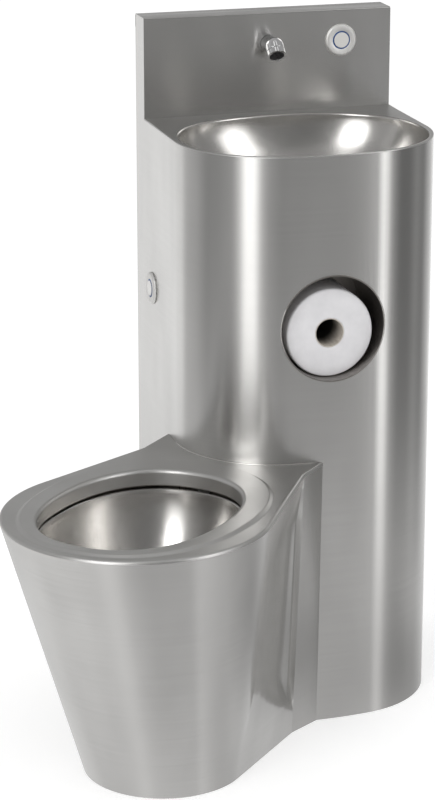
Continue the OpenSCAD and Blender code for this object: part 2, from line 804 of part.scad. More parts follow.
module spout_nut() {
    color("gray") translate([0, -splash_d + sheet, spout_z]) rotate([-90, 0, 0]) difference() {
        cylinder(h = nut_t, d = nut_d, $fn = 6);
        translate([0, 0, -over]) cylinder(h = nut_t + 2*over, d = tail_d + 2*slide_gap);
    }
}

// Places a push button's own frame, with Z out of the panel, on the splashback or on the left side
module at_tap_button() {
    translate([tap_button_x, -splash_d, spout_z]) rotate([90, 0, 0]) children();
}
module at_flush_button() {
    translate([-unit_w/2, -flush_button_y, flush_button_z]) rotate([0, -90, 0]) children();
}

// The bezel with its seat for the lit ring and the cap, and the threaded barrel behind the panel
module bezel() {
    rotate_extrude() polygon([
        [barrel_d/2 - barrel_t, -barrel_l], [barrel_d/2, -barrel_l], [barrel_d/2, 0], [bezel_d/2, 0],
        [bezel_d/2, bezel_edge], [bezel_d/2 - bezel_t + bezel_edge, bezel_t], [halo_d/2 + slide_gap, bezel_t],
        [halo_d/2 + slide_gap, web_t], [barrel_d/2 - barrel_t, web_t]
    ]);
}
module halo() {
    translate([0, 0, web_t]) tube(halo_d, cap_d + 2*slide_gap, bezel_t - web_t + halo_proud);
}
module cap() {
    top = web_t + gap + button_travel + cap_t;
    rotate_extrude() polygon([
        [0, -stem_l], [stem_d/2, -stem_l], [stem_d/2, top - cap_t], [cap_d/2, top - cap_t],
        [cap_d/2, top - cap_edge], [cap_d/2 - cap_edge, top], [0, top]
    ]);
}
module spring() {
    translate([0, 0, -switch_z]) tube(spring_d, spring_d - 2*spring_t, switch_z + web_t + gap + button_travel);
}
module switch_body() {
    rotate_extrude() polygon([
        [stem_d/2 + slide_gap, -switch_z], [barrel_d/2 - barrel_t - slide_gap, -switch_z],
        [barrel_d/2 - barrel_t - slide_gap, -barrel_l - terminal_l], [0, -barrel_l - terminal_l],
        [0, -stem_l - button_travel - gap], [stem_d/2 + slide_gap, -stem_l - button_travel - gap]
    ]);
}
module barrel_nut() {
    translate([0, 0, -sheet - nut_t]) difference() {
        cylinder(h = nut_t, d = nut_d, $fn = 6);
        translate([0, 0, -over]) cylinder(h = nut_t + 2*over, d = barrel_d + 2*slide_gap);
    }
}

module tap_bezel() { color("gainsboro") at_tap_button() bezel(); }
module tap_halo() { color("royalblue") at_tap_button() halo(); }
module tap_cap() { color("white") at_tap_button() cap(); }
module tap_spring() { color("gray") at_tap_button() spring(); }
module tap_switch() { color("dimgray") at_tap_button() switch_body(); }
module tap_button_nut() { color("gray") at_tap_button() barrel_nut(); }
module flush_bezel() { color("gainsboro") at_flush_button() bezel(); }
module flush_halo() { color("royalblue") at_flush_button() halo(); }
module flush_cap() { color("white") at_flush_button() cap(); }
module flush_spring() { color("gray") at_flush_button() spring(); }
module flush_switch() { color("dimgray") at_flush_button() switch_body(); }
module flush_button_nut() { color("gray") at_flush_button() barrel_nut(); }

// The angled stop valve: a threaded inlet from the wall, an outlet to the left and a stem in front
module stop_valve() {
    color("goldenrod") translate([valve_x, 0, supply_z]) difference() {
        union() {
            translate([0, -supply_y - valve_d/2, 0]) rotate([-90, 0, 0]) cylinder(h = valve_d, d = valve_d);
            translate([0, -supply_y + valve_d/2, 0]) rotate([-90, 0, 0]) cylinder(h = inlet_l, d = inlet_d);
            translate([-valve_reach, -supply_y, 0]) rotate([0, 90, 0]) cylinder(h = valve_reach, d = water_d + 2*union_t);
            translate([0, -supply_y - valve_d/2 - spindle_l, 0]) rotate([-90, 0, 0]) cylinder(h = spindle_l, d = spindle_d);
        }
        translate([0, -supply_y, 0]) rotate([-90, 0, 0]) cylinder(h = valve_d/2 + inlet_l + over, d = water_bore);
        translate([-valve_reach - over, -supply_y, 0]) rotate([0, 90, 0]) cylinder(h = valve_reach + over, d = water_bore);
    }
}

// The lever that turns on the stop valve's spindle
module stop_lever() {
    color("red") translate([valve_x, -supply_y - valve_d/2 - spindle_l, supply_z]) rotate([-90, 0, 0]) difference() {
        union() {
            cylinder(h = spindle_l - gap, d = hub_d);
            translate([-lever_w/2, -lever_l, 0]) cube([lever_w, lever_l, lever_t]);
            translate([0, -lever_l, 0]) cylinder(h = lever_t, d = lever_w);
        }
        translate([0, 0, -over]) cylinder(h = spindle_l + 2*over, d = spindle_d + 2*running);
    }
}

// The pipe from the stop valve to the flush valve, with its branch up to the tap valve
module supply_pipe() {
    bore = water_d - 2*pipe_t;
    color("peru") translate([0, -supply_y, 0]) difference() {
        union() {
            translate([flush_valve_x, 0, supply_z]) rotate([0, 90, 0])
                cylinder(h = valve_x - valve_reach - flush_valve_x, d = water_d);
            translate([branch_x, 0, supply_z]) cylinder(h = branch_h, d = water_d);
        }
        translate([flush_valve_x - over, 0, supply_z]) rotate([0, 90, 0])
            cylinder(h = valve_x - valve_reach - flush_valve_x + 2*over, d = bore);
        translate([branch_x, 0, supply_z]) cylinder(h = branch_h + over, d = bore);
    }
}

// The solenoid valve that lets the flush water out towards the pan
module flush_valve() {
    color("dimgray") translate([0, -supply_y, supply_z]) difference() {
        union() {
            translate([-valve_d/2, 0, 0]) rotate([0, 90, 0]) cylinder(h = flush_valve_x + valve_d/2, d = valve_d);
            rotate([90, 0, 0]) cylinder(h = flush_boss_l, d = flush_d + union_t);
            cylinder(h = coil_z + coil_h, d = coil_d);
        }
        rotate([90, 0, 0]) cylinder(h = flush_boss_l + over, d = flush_d - 2*pipe_t);
        rotate([0, 90, 0]) cylinder(h = flush_valve_x + over, d = water_bore);
    }
}

// The flush pipe: forward from the valve, then along the pan's axis to the rim channel
module flush_pipe() {
    bore = flush_d - 2*pipe_t;
    start_y = -supply_y - flush_boss_l;
    end_u = mouth_u - mouth_a - channel_w - bowl_t - gap;
    leg = flush_r*tan((90 - pan_angle)/2);
    color("silver") {
        translate([0, start_y, flush_z]) rotate([90, 0, 0]) tube(flush_d, bore, pan_root - leg + start_y + over);
        on_pan_axis() translate([leg, 0, flush_z]) rotate([90, 0, 0]) rotate([0, -90, 0])
            bend(flush_d + 2*elbow_t, bore - 2*elbow_lip, flush_r, 90 - pan_angle);
        on_pan_axis() translate([leg - over, 0, flush_z]) rotate([0, 90, 0]) tube(flush_d, bore, end_u - leg + over);
    }
}

// The solenoid valve of the tap
module tap_valve() {
    color("dimgray") translate([branch_x, -supply_y, supply_z + branch_h]) difference() {
        union() {
            cylinder(h = tap_valve_h, d = valve_d);
            translate([0, 0, tap_valve_h/2]) rotate([0, 90, 0]) cylinder(h = coil_z + coil_h, d = coil_d - 2*union_t);
        }
        translate([0, 0, -over]) cylinder(h = tap_valve_h + 2*over, d = water_bore);
    }
}

// The pipe from the tap valve up behind the splashback to the spout's tail
module tap_pipe() {
    bore = tap_pipe_d - 2*pipe_t;
    start_z = supply_z + branch_h + tap_valve_h;
    tail_y = splash_d + gasket_t - tail_back;
    color("peru") translate([0, -supply_y, 0]) {
        translate([branch_x, 0, start_z]) tube(tap_pipe_d, bore, spout_z - tap_r - start_z);
        translate([branch_x, 0, spout_z - tap_r]) rotate([0, 0, 180]) bend(tap_pipe_d, bore, tap_r, 90);
        translate([tail_y - supply_y, 0, spout_z]) rotate([0, 90, 0])
            tube(tap_pipe_d, bore, branch_x - tap_r - tail_y + supply_y);
        translate([tail_y - supply_y, 0, spout_z]) rotate([0, -90, 0]) rotate([0, 0, -90])
            bend(tap_pipe_d, bore, tail_y - supply_y, 90);
    }
}

module control_box() {
    color("gainsboro") translate([unit_w/2 - sheet - box_d, -box_y, box_z]) difference() {
        cube([box_d, box_l, box_h]);
        translate([-over, box_t, box_t]) cube([box_d - box_t + over, box_l - 2*box_t, box_h - 2*box_t]);
        for (y = [0, 1], z = [0, 1])
            translate([-over, box_t/2 + y*(box_l - box_t), box_t/2 + z*(box_h - box_t)]) rotate([0, 90, 0])
                cylinder(h = screw_l + over, d = screw_d + 2*slide_gap);
    }
}

module control_box_lid() {
    color("silver") translate([unit_w/2 - sheet - box_d - lid_t, -box_y, box_z]) difference() {
        cube([lid_t, box_l, box_h]);
        for (y = [0, 1], z = [0, 1])
            translate([-over, box_t/2 + y*(box_l - box_t), box_t/2 + z*(box_h - box_t)]) rotate([0, 90, 0])
                cylinder(h = lid_t + 2*over, d = screw_d + 2*slide_gap);
    }
}

module control_box_screws() {
    color("gray") translate([unit_w/2 - sheet - box_d - lid_t, -box_y, box_z])
        for (y = [0, 1], z = [0, 1])
            translate([0, box_t/2 + y*(box_l - box_t), box_t/2 + z*(box_h - box_t)]) rotate([0, 90, 0]) {
                translate([0, 0, -head_t]) cylinder(h = head_t, d = 2*screw_d);
                cylinder(h = lid_t + screw_l - gap, d = screw_d);
            }
}

// The saddles that hold the pipes to the frame's crossbars
module pipe_clips() {
    color("gray") {
        clip(branch_x, bar_z[3], tap_pipe_d);
        clip(branch_x, bar_z[2], water_d);
    }
}
module clip(x, z, d) {
    translate([x - d/2 - clip_t, -supply_y - d/2 - clip_t, z]) difference() {
        cube([d + 2*clip_t, supply_y + d/2 + clip_t - frame_t, bar_w]);
        translate([d/2 + clip_t, d/2 + clip_t, -over]) cylinder(h = bar_w + 2*over, d = d + 2*slide_gap);
    }
}

column_shell();
deck_plate();
splashback_panel();
back_frame();
floor_angle_left();
floor_angle_right();
basin_bowl();
basin_strainer();
strainer_gasket();
strainer_nut();
basin_trap();
trap_union_nuts();
pan_skirt();
pan_top();
pan_bowl();
flush_rim();
pan_trap();
soil_pipe();
soil_seal();
recess_liner();
recess_back();
toilet_roll();
roll_core();
spout();
aerator_ring();
aerator_insert();
spout_gasket();
spout_nut();
tap_bezel();
tap_halo();
tap_cap();
tap_spring();
tap_switch();
tap_button_nut();
flush_bezel();
flush_halo();
flush_cap();
flush_spring();
flush_switch();
flush_button_nut();
supply_pipe();
stop_valve();
stop_lever();
flush_valve();
flush_pipe();
tap_valve();
tap_pipe();
control_box();
control_box_lid();
control_box_screws();
pipe_clips();
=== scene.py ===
# Toilet and basin combination unit in stainless steel: its looks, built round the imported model
import math

import bmesh
import bpy
from mathutils import Matrix, Vector


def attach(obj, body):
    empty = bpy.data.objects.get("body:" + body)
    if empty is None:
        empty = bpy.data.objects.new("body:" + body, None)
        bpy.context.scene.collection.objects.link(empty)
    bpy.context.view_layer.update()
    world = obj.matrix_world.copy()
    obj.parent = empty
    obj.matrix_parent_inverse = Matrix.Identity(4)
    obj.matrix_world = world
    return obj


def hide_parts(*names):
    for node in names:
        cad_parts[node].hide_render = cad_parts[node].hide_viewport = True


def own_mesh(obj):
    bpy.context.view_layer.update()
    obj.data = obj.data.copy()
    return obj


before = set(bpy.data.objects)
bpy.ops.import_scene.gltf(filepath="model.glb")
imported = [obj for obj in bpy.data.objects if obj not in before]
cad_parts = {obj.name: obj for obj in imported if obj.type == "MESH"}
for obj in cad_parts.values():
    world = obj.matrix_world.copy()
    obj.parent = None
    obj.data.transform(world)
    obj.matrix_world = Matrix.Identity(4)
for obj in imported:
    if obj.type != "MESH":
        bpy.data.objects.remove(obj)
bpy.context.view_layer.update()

scene = bpy.context.scene

# Sizes of the unit in millimetres, the same as in the part's source; the two welds are only here
UNIT_W, DECK_Z, TOP_Z = 400, 890, 1045
SPLASH_D, SHEET, BOWL_T = 48, 2, 1.5
SIDE_FLAT, CORNER_R, FRONT_R = 217, 152, 576
SPOUT_Z, SPOUT_HOLE_R = 997, 10.3
TAP_BUTTON_X, FLUSH_BUTTON_Y, FLUSH_BUTTON_Z, BUTTON_HOLE_R = 118, -87, 631, 11.3
BASIN_A, BASIN_B, BASIN_DEPTH, BASIN_SHARE, BASIN_CURVE = 188.5, 146, 135, 2.29, 1.2
BASIN_RIM, WASTE_R, WASTE_HOLE_R = 3.7, 40, 23
SEAT_WELD, RECESS_WELD = 1.6, 1.1
SEAT_Z, SEAT_RISE, EDGE_R = 420, 4, 5
PAN_ROOT, PAN_TURN = 164, 45
RIM_U, RIM_R, FOOT_U, FOOT_R = 480, 196, 405, 121
NECK_V, NECK_FOOT_V, NECK_U, NECK_FLARE, PLATE_U = 136, 119, 60, 35, 221
WINDOW_U, WINDOW_Z, WINDOW_SIZE = 146, 221, (172, 188, 382)
MOUTH_U, MOUTH_A, MOUTH_B, MOUTH_SHARE = 470, 170, 130, 2.25
STEP_U, STEP_A, STEP_B, STEP_SHARE, STEP_W = 455, 207, 165, 2.2, 8
LIP_R, LIP_LEAN, LIP_Z, BOWL_Z = 6, 1, 400, 394
CHANNEL_W, CHANNEL_Z = 18, 380
OUTLET_U, OUTLET_R, TRAP_Z, PAN_CURVE = 442, 40, 214, 1.4
HOLLOW_Z0, HOLLOW_Z1, HOLLOW_Z2, HOLLOW_DEPTH, HOLLOW_RUN, CREASE_TURN = 41, 138, 345, 13, 36, 107
HOLLOW_COLS = (0.004, 0.05, 0.09, 0.13, 0.19, 0.26, 0.35, 0.45, 0.57, 0.7, 0.85)
RECESS_D, RECESS_Z, RECESS_DEPTH = 160, 627, 122
ROLL_D, ROLL_W, CORE_D, CORE_T, ROLL_Z = 135, 96, 42, 1.5, 614.8

CORNER_X = UNIT_W / 2 - CORNER_R
FRONT_CY = -SIDE_FLAT + math.sqrt((FRONT_R - CORNER_R) ** 2 - CORNER_X ** 2)
FRONT_Y = FRONT_CY - FRONT_R
BASIN_Y = -(FRONT_Y + BASIN_RIM + BASIN_B)
ROLL_BACK_Y = FRONT_Y + RECESS_DEPTH - SHEET - 4
RIM_Z = SEAT_Z - EDGE_R
PAN_HEADING = math.radians(180 + PAN_TURN)


# ---------------------------------------------------------------- shaping
def metres(place):
    return Vector(place) * 0.001


def deselect():
    if bpy.context.mode != "OBJECT":
        bpy.ops.object.mode_set(mode="OBJECT")
    bpy.ops.object.select_all(action="DESELECT")


def activate(piece):
    deselect()
    piece.select_set(True)
    bpy.context.view_layer.objects.active = piece


def select_edges(piece, keep):
    """Open the piece for editing with only the edges selected whose two corners keep(place) accepts."""
    activate(piece)
    bpy.ops.object.mode_set(mode="EDIT")
    bpy.ops.mesh.select_mode(type="EDGE")
    bpy.ops.mesh.select_all(action="DESELECT")
    mesh = bmesh.from_edit_mesh(piece.data)
    for edge in mesh.edges:
        edge.select = keep(edge.verts[0].co) and keep(edge.verts[1].co)
    mesh.select_flush_mode()
    bmesh.update_edit_mesh(piece.data)


def pull(name, rings, closed=True):
    """Set out the first ring of corners in millimetres, then extrude it through the others."""
    count = len(rings[0])
    deselect()
    bpy.ops.mesh.primitive_circle_add(vertices=count, radius=0.1)
    piece = bpy.context.object
    piece.name = piece.data.name = name
    for vert, place in zip(piece.data.vertices, rings[0]):
        vert.co = metres(place)
    order = piece.data.attributes.new("order", "INT", "POINT")
    for k in range(count):
        order.data[k].value = k
    bpy.ops.object.mode_set(mode="EDIT")
    bpy.ops.mesh.select_mode(type="VERT")
    if not closed:
        bpy.ops.mesh.select_all(action="DESELECT")
        bpy.ops.mesh.select_mode(type="EDGE")
        mesh = bmesh.from_edit_mesh(piece.data)
        for edge in mesh.edges:
            edge.select = {v.index for v in edge.verts} == {0, count - 1}
        bmesh.update_edit_mesh(piece.data)
        bpy.ops.mesh.delete(type="EDGE")
        bpy.ops.mesh.select_mode(type="VERT")
    bpy.ops.mesh.select_all(action="SELECT")
    for ring in rings[1:]:
        bpy.ops.mesh.extrude_region_move()
        mesh = bmesh.from_edit_mesh(piece.data)
        layer = mesh.verts.layers.int["order"]
        for vert in mesh.verts:
            if vert.select:
                vert.co = metres(ring[vert[layer]])
        bmesh.update_edit_mesh(piece.data)
    bpy.ops.object.mode_set(mode="OBJECT")
    piece.data.attributes.remove(piece.data.attributes["order"])
    return piece


def cap(piece, *heights):
    """Close the open ends of a pulled solid at the given heights."""
    for z in heights:
        select_edges(piece, lambda place: abs(place.z - z * 0.001) < 1e-6)
        bpy.ops.mesh.edge_face_add()
    bpy.ops.object.mode_set(mode="OBJECT")


def turned(name, profile, centre, steps):
    """Spin a closed profile of (out, forward) millimetres round the level line from centre to the front."""
    turn = Matrix.Rotation(math.pi / 2, 3, "X")
    middle = Vector(centre)
    deselect()
    bpy.ops.mesh.primitive_circle_add(vertices=len(profile), radius=0.1)
    piece = bpy.context.object
    piece.name = piece.data.name = name
    for vert, (out, forward) in zip(piece.data.vertices, profile):
        vert.co = metres(middle + turn @ Vector((out, 0, forward)))
    bpy.ops.object.mode_set(mode="EDIT")
    bpy.ops.mesh.select_all(action="SELECT")
    bpy.ops.mesh.spin(steps=steps, angle=math.tau, center=metres(middle), axis=turn @ Vector((0, 0, 1)))
    bpy.ops.mesh.select_all(action="SELECT")
    bpy.ops.mesh.remove_doubles(threshold=1e-5)
    bpy.ops.mesh.normals_make_consistent(inside=False)
    bpy.ops.object.mode_set(mode="OBJECT")
    return piece


def modify(piece, kind, **settings):
    """Add a modifier and apply it."""
    activate(piece)
    modifier = piece.modifiers.new(kind.title(), kind)
    for key, value in settings.items():
        setattr(modifier, key, value)
    bpy.ops.object.modifier_apply(modifier=modifier.name)


def face_towards(piece, place, away=False):
    """Turn an open sheet so that its faces look towards a place, or away from it."""
    middle = metres(place)
    total = sum(f.area * f.normal.dot(middle - f.center) for f in piece.data.polygons)
    if (total < 0) != away:
        activate(piece)
        bpy.ops.object.mode_set(mode="EDIT")
        bpy.ops.mesh.select_all(action="SELECT")
        bpy.ops.mesh.flip_normals()
        bpy.ops.object.mode_set(mode="OBJECT")


def thicken(piece, thickness):
    modify(piece, "SOLIDIFY", thickness=thickness * 0.001, offset=-1, use_even_offset=True)


def cut(piece, cutter, operation="DIFFERENCE"):
    modify(piece, "BOOLEAN", object=cutter, operation=operation, solver="MANIFOLD")
    bpy.data.objects.remove(cutter)


def soften(piece, width, segments, turn):
    """Round the edges that turn by more than so many degrees."""
    modify(piece, "BEVEL", width=width * 0.001, segments=segments, limit_method="ANGLE",
           angle_limit=math.radians(turn), use_clamp_overlap=True)


def drill(radius, depth, place, axis="Y", sides=128):
    """A round cutter of the given radius and depth, centred on a place."""
    deselect()
    turn = {"Y": (math.pi / 2, 0, 0), "X": (0, math.pi / 2, 0)}[axis]
    bpy.ops.mesh.primitive_cylinder_add(vertices=sides, radius=radius * 0.001, depth=depth * 0.001,
                                        location=metres(place), rotation=turn)
    return bpy.context.object


def finish(piece, material, body="unit", stands_for=(), smooth=30):
    """Shade, paint and mount a finished piece."""
    activate(piece)
    bpy.ops.object.shade_smooth_by_angle(angle=math.radians(smooth))
    modify(piece, "WEIGHTED_NORMAL", mode="FACE_AREA_WITH_ANGLE", keep_sharp=True)
    piece.data.materials.clear()
    piece.data.materials.append(MATERIALS[material])
    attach(piece, body)
    if stands_for:
        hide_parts(*stands_for)


def node_copy(node):
    """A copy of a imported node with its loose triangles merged."""
    activate(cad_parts[node])
    bpy.ops.object.duplicate()
    piece = bpy.context.object
    piece.name = piece.data.name = node + "_piece"
    piece.parent = None
    for key in list(piece.keys()):
        if key.startswith("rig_"):
            del piece[key]
    bpy.ops.object.mode_set(mode="EDIT")
    bpy.ops.mesh.select_all(action="SELECT")
    bpy.ops.mesh.remove_doubles(threshold=2e-5)
    bpy.ops.object.mode_set(mode="OBJECT")
    return piece


# ---------------------------------------------------------------- materials
def hex_colour(code):
    """An sRGB hex colour as linear red, green, blue and 1."""
    values = [int(code[k:k + 2], 16) / 255 for k in (1, 3, 5)]
    return [v / 12.92 if v <= 0.04045 else ((v + 0.055) / 1.055) ** 2.4 for v in values] + [1]


def put(tree, kind, settings=None, **inputs):
    """Add a node with its settings. An input goes by its name, or by n and its number.

    It is a value, or the socket that feeds it.
    """
    node = tree.nodes.new(kind)
    for key, value in (settings or {}).items():
        setattr(node, key, value)
    for key, value in inputs.items():
        numbered = key[0] == "n" and key[1:].isdigit()
        socket = node.inputs[int(key[1:]) if numbered else key.replace("_", " ")]
        if isinstance(value, bpy.types.NodeSocket):
            tree.links.new(value, socket)
        else:
            socket.default_value = value
    return node


def ramp(node, stops):
    """Set the stops of a colour ramp from (place, colour)."""
    elements = node.color_ramp.elements
    while len(elements) > 1:
        elements.remove(elements[-1])
    elements[0].position, elements[0].color = stops[0]
    for place, colour in stops[1:]:
        elements.new(place).color = colour
    return node


def grey(value):
    return (value, value, value, 1)


MATERIALS = {}
BLEND = {"data_type": "RGBA"}
# A noise lies mostly between these two values
NOISE_SPAN = {"n1": 0.3, "n2": 0.7}


def new_material(name, colour):
    material = bpy.data.materials.new(name)
    material.use_nodes = True
    material.diffuse_color = hex_colour(colour)
    MATERIALS[name] = material
    tree = material.node_tree
    return tree, tree.nodes["Principled BSDF"], put(tree, "ShaderNodeTexCoord").outputs["Object"]


def grain(tree, where, scale, detail=3.0):
    """Streaks or clouds of a noise whose size along each axis is 1/scale metres."""
    mapped = put(tree, "ShaderNodeMapping", Vector=where, Scale=scale).outputs[0]
    return put(tree, "ShaderNodeTexNoise", Vector=mapped, Scale=1.0, Detail=detail, Roughness=0.6).outputs[0]


def steel(name, colour, dark, roughness, streak, wave, drawn=0.0, grit_scale=(4, 4, 350), relief=0.05):
    """Stainless steel sheet: fine grit lines, soft smudges and the slight waves of rolled sheet."""
    tree, shader, where = new_material(name, colour)
    grit = grain(tree, where, grit_scale)
    smudge = grain(tree, where, (9, 9, 4), 2.0)
    waves = grain(tree, where, (5, 5, 1.5), 0.0)
    cloud = put(tree, "ShaderNodeMapRange", Value=smudge, n3=0, n4=0.8, **NOISE_SPAN)
    line = put(tree, "ShaderNodeMapRange", Value=grit, n3=0, n4=0.2, **NOISE_SPAN)
    share = put(tree, "ShaderNodeMath", {"operation": "ADD"}, n0=cloud.outputs[0], n1=line.outputs[0])
    tone = put(tree, "ShaderNodeMix", BLEND, n0=share.outputs[0], n6=hex_colour(colour), n7=hex_colour(dark))
    tree.links.new(tone.outputs[2], shader.inputs["Base Color"])
    shader.inputs["Metallic"].default_value = 1.0
    shader.inputs["Anisotropic"].default_value = drawn
    scratch = put(tree, "ShaderNodeMapRange", Value=grit, n3=-streak, n4=streak, **NOISE_SPAN)
    film = put(tree, "ShaderNodeMapRange", Value=smudge, n3=roughness, n4=roughness * 1.15, **NOISE_SPAN)
    rough = put(tree, "ShaderNodeMath", {"operation": "ADD"}, n0=scratch.outputs[0], n1=film.outputs[0])
    tree.links.new(rough.outputs[0], shader.inputs["Roughness"])
    fine = put(tree, "ShaderNodeBump", Strength=relief, Distance=0.0001, Height=grit)
    broad = put(tree, "ShaderNodeBump", Strength=wave, Distance=0.002, Height=waves, Normal=fine.outputs[0])
    tree.links.new(broad.outputs[0], shader.inputs["Normal"])
    if drawn:
        # The grit lines lie level, so they draw reflections out up and down
        shader.inputs["Anisotropic Rotation"].default_value = 0.25
        level = put(tree, "ShaderNodeTangent", {"direction_type": "RADIAL", "axis": "Z"})
        tree.links.new(level.outputs[0], shader.inputs["Tangent"])


def moulded(name, colour, dark, roughness, grit, bump, coat=0.0):
    """Moulded plastic or rubber: an even colour with faint mottling and a fine skin."""
    tree, shader, where = new_material(name, colour)
    mottle = grain(tree, where, (40, 40, 40), 2.0)
    skin = grain(tree, where, (grit, grit, grit), 2.0)
    share = put(tree, "ShaderNodeMapRange", Value=mottle, n3=0, n4=1, **NOISE_SPAN)
    tone = put(tree, "ShaderNodeMix", BLEND, n0=share.outputs[0], n6=hex_colour(colour), n7=hex_colour(dark))
    tree.links.new(tone.outputs[2], shader.inputs["Base Color"])
    rough = put(tree, "ShaderNodeMapRange", Value=mottle, n3=roughness, n4=roughness * 1.2, **NOISE_SPAN)
    tree.links.new(rough.outputs[0], shader.inputs["Roughness"])
    shader.inputs["IOR"].default_value = 1.5
    shader.inputs["Coat Weight"].default_value = coat
    height = put(tree, "ShaderNodeBump", Strength=bump, Distance=0.0001, Height=skin)
    tree.links.new(height.outputs[0], shader.inputs["Normal"])


# Grade 304 sheet, belt ground to a satin: soft reflections drawn out up and down, with fine level lines.
# The grit lines of 0.1 mm are drawn about 3 mm apart so that they show.
steel("brushed_steel", "#D1D0CE", "#C7C6C4", 0.225, 0.012, 0.15, 0.9)
# Pressed tops, blasted and brushed lightly: the same sheet, softer
steel("satin_steel", "#D1D0CE", "#C7C6C4", 0.38, 0.012, 0.15, 0.3)
# Pressed bowls, buffed after the press: brighter and sharper, without lines
steel("polished_steel", "#D2D0CD", "#C6C4C1", 0.21, 0.02, 0.2, 0.0, (60, 60, 60), 0.01)
# The sleeve of the recess and the inner channel: satin sheet left as it came, duller, with a darker colour that is
# painted shade for these shaded places
steel("dark_steel", "#A5A19D", "#8E8A86", 0.28, 0.04, 0.2, 0.0, (60, 500, 60))
# Bar and angle with their mill skin: grey, blotchy and rough
steel("plain_steel", "#A9A9A8", "#8C8B89", 0.42, 0.08, 0.1, 0.0, (20, 20, 200))
# Bright chrome plate over turned brass: clear reflections with a very fine ripple
steel("chrome", "#E3E3E3", "#DADADB", 0.07, 0.015, 0.1, 0.0, (300, 300, 300))
# The buttons' bezels: blasted before they were plated, so pale and even
steel("satin_chrome", "#F4F3F1", "#ECEBE9", 0.55, 0.03, 0.0, 0.0, (900, 900, 900), 0.03)
# Plain brass of valve bodies: warm, dulled by handling
steel("brass", "#D0AE66", "#A98545", 0.3, 0.08, 0.1, 0.0, (150, 150, 150))
# Polycarbonate cap of the buttons: pale, smooth and a little glossy
moulded("pale_cap", "#E2E1DE", "#D9D8D5", 0.28, 900, 0.1, 0.3)
# Tinted acrylic light ring
moulded("blue_ring", "#104F92", "#0C3F7A", 0.4, 900, 0.05)
# Glass-filled nylon of nuts, switches and coils: black with a dull grain of 0.5 mm
moulded("dark_plastic", "#2A2A2C", "#202022", 0.5, 2000, 0.5)
# Polypropylene waste pipe: pale grey and waxy
moulded("pipe_plastic", "#D3D3D0", "#C8C8C4", 0.42, 600, 0.2)
# ABS of the control box: grey with a spark-eroded grain of 0.4 mm
moulded("box_plastic", "#B9BBBC", "#ADAFB0", 0.5, 2500, 0.6)
# EPDM rubber: near black and dull
moulded("black_rubber", "#262524", "#1C1B1B", 0.7, 1500, 0.4)
# Enamel on the lever: red and glossy, with a slight orange peel
moulded("lever_paint", "#B02A22", "#9A221C", 0.25, 300, 0.3, 0.4)


def paper_material():
    """Soft tissue wound in layers: rings round the core on the ends, quilted dimples on the sheet."""
    tree, shader, where = new_material("paper", "#E9E8EA")
    axis = (0, 0, -ROLL_Z / 1000)
    centred = put(tree, "ShaderNodeMapping", Vector=where, Location=axis, Scale=(1, 0, 1)).outputs[0]
    # Layers of 0.2 mm are drawn 1.3 mm apart so that they show
    layers = put(tree, "ShaderNodeTexWave", {"wave_type": "RINGS", "rings_direction": "SPHERICAL"},
                 Vector=centred, Scale=240.0, Distortion=1.5, Detail=2.0, Detail_Scale=3.0).outputs[1]
    fluff = grain(tree, where, (500, 500, 500), 4.0)
    blotch = grain(tree, where, (35, 35, 35), 2.0)
    # The embossed dimples stand 5 mm apart
    dimples = put(tree, "ShaderNodeTexVoronoi", {"feature": "SMOOTH_F1"}, Vector=where, Scale=200.0).outputs[0]
    share = put(tree, "ShaderNodeMapRange", Value=blotch, n3=0, n4=1, **NOISE_SPAN)
    tone = put(tree, "ShaderNodeMix", BLEND, n0=share.outputs[0], n6=hex_colour("#EBEAEC"), n7=hex_colour("#E2E1E3"))
    tree.links.new(tone.outputs[2], shader.inputs["Base Color"])
    shader.inputs["Roughness"].default_value = 0.95
    shader.inputs["Specular IOR Level"].default_value = 0.15
    shader.inputs["Sheen Weight"].default_value = 0.2
    first = put(tree, "ShaderNodeBump", Strength=0.12, Distance=0.0004, Height=layers)
    second = put(tree, "ShaderNodeBump", Strength=0.25, Distance=0.0003, Height=fluff, Normal=first.outputs[0])
    third = put(tree, "ShaderNodeBump", Strength=0.15, Distance=0.0006, Height=dimples, Normal=second.outputs[0])
    tree.links.new(third.outputs[0], shader.inputs["Normal"])


paper_material()


def card_material():
    """Grey-brown board wound on the slant: a seam each turn, short fibres, and painted shade darkening it deep in the
    tube.
    """
    tree, shader, where = new_material("core_card", "#CFC8BF")
    fibre = grain(tree, where, (300, 80, 300), 4.0)
    seam = put(tree, "ShaderNodeTexWave", {"wave_type": "BANDS", "bands_direction": "DIAGONAL"},
               Vector=where, Scale=18.0, Distortion=0.5).outputs[1]
    share = put(tree, "ShaderNodeMapRange", Value=fibre, n3=0, n4=1, **NOISE_SPAN)
    tone = put(tree, "ShaderNodeMix", BLEND, n0=share.outputs[0], n6=hex_colour("#D6D0C8"), n7=hex_colour("#BDB4A8"))
    # Painted shade: the card's colour is darkened towards the back of the tube, where little light reaches
    inward = put(tree, "ShaderNodeSeparateXYZ", Vector=where).outputs[1]
    mouth = (ROLL_BACK_Y - ROLL_W) * 0.001
    depth = put(tree, "ShaderNodeMapRange", Value=inward, n1=mouth + 0.008, n2=mouth + 0.05, n3=1.0, n4=0.06)
    painted_deep_shade = put(tree, "ShaderNodeMix", {"data_type": "RGBA", "blend_type": "MULTIPLY"},
                 n0=1.0, n6=tone.outputs[2], n7=depth.outputs[0])
    tree.links.new(painted_deep_shade.outputs[2], shader.inputs["Base Color"])
    shader.inputs["Roughness"].default_value = 0.85
    height = put(tree, "ShaderNodeBump", Strength=0.3, Distance=0.0003, Height=fibre)
    ridge = put(tree, "ShaderNodeBump", Strength=0.2, Distance=0.0004, Height=seam, Normal=height.outputs[0])
    tree.links.new(ridge.outputs[0], shader.inputs["Normal"])


card_material()


# ---------------------------------------------------------------- outlines
def mix(a, b, t):
    return a + (b - a) * t


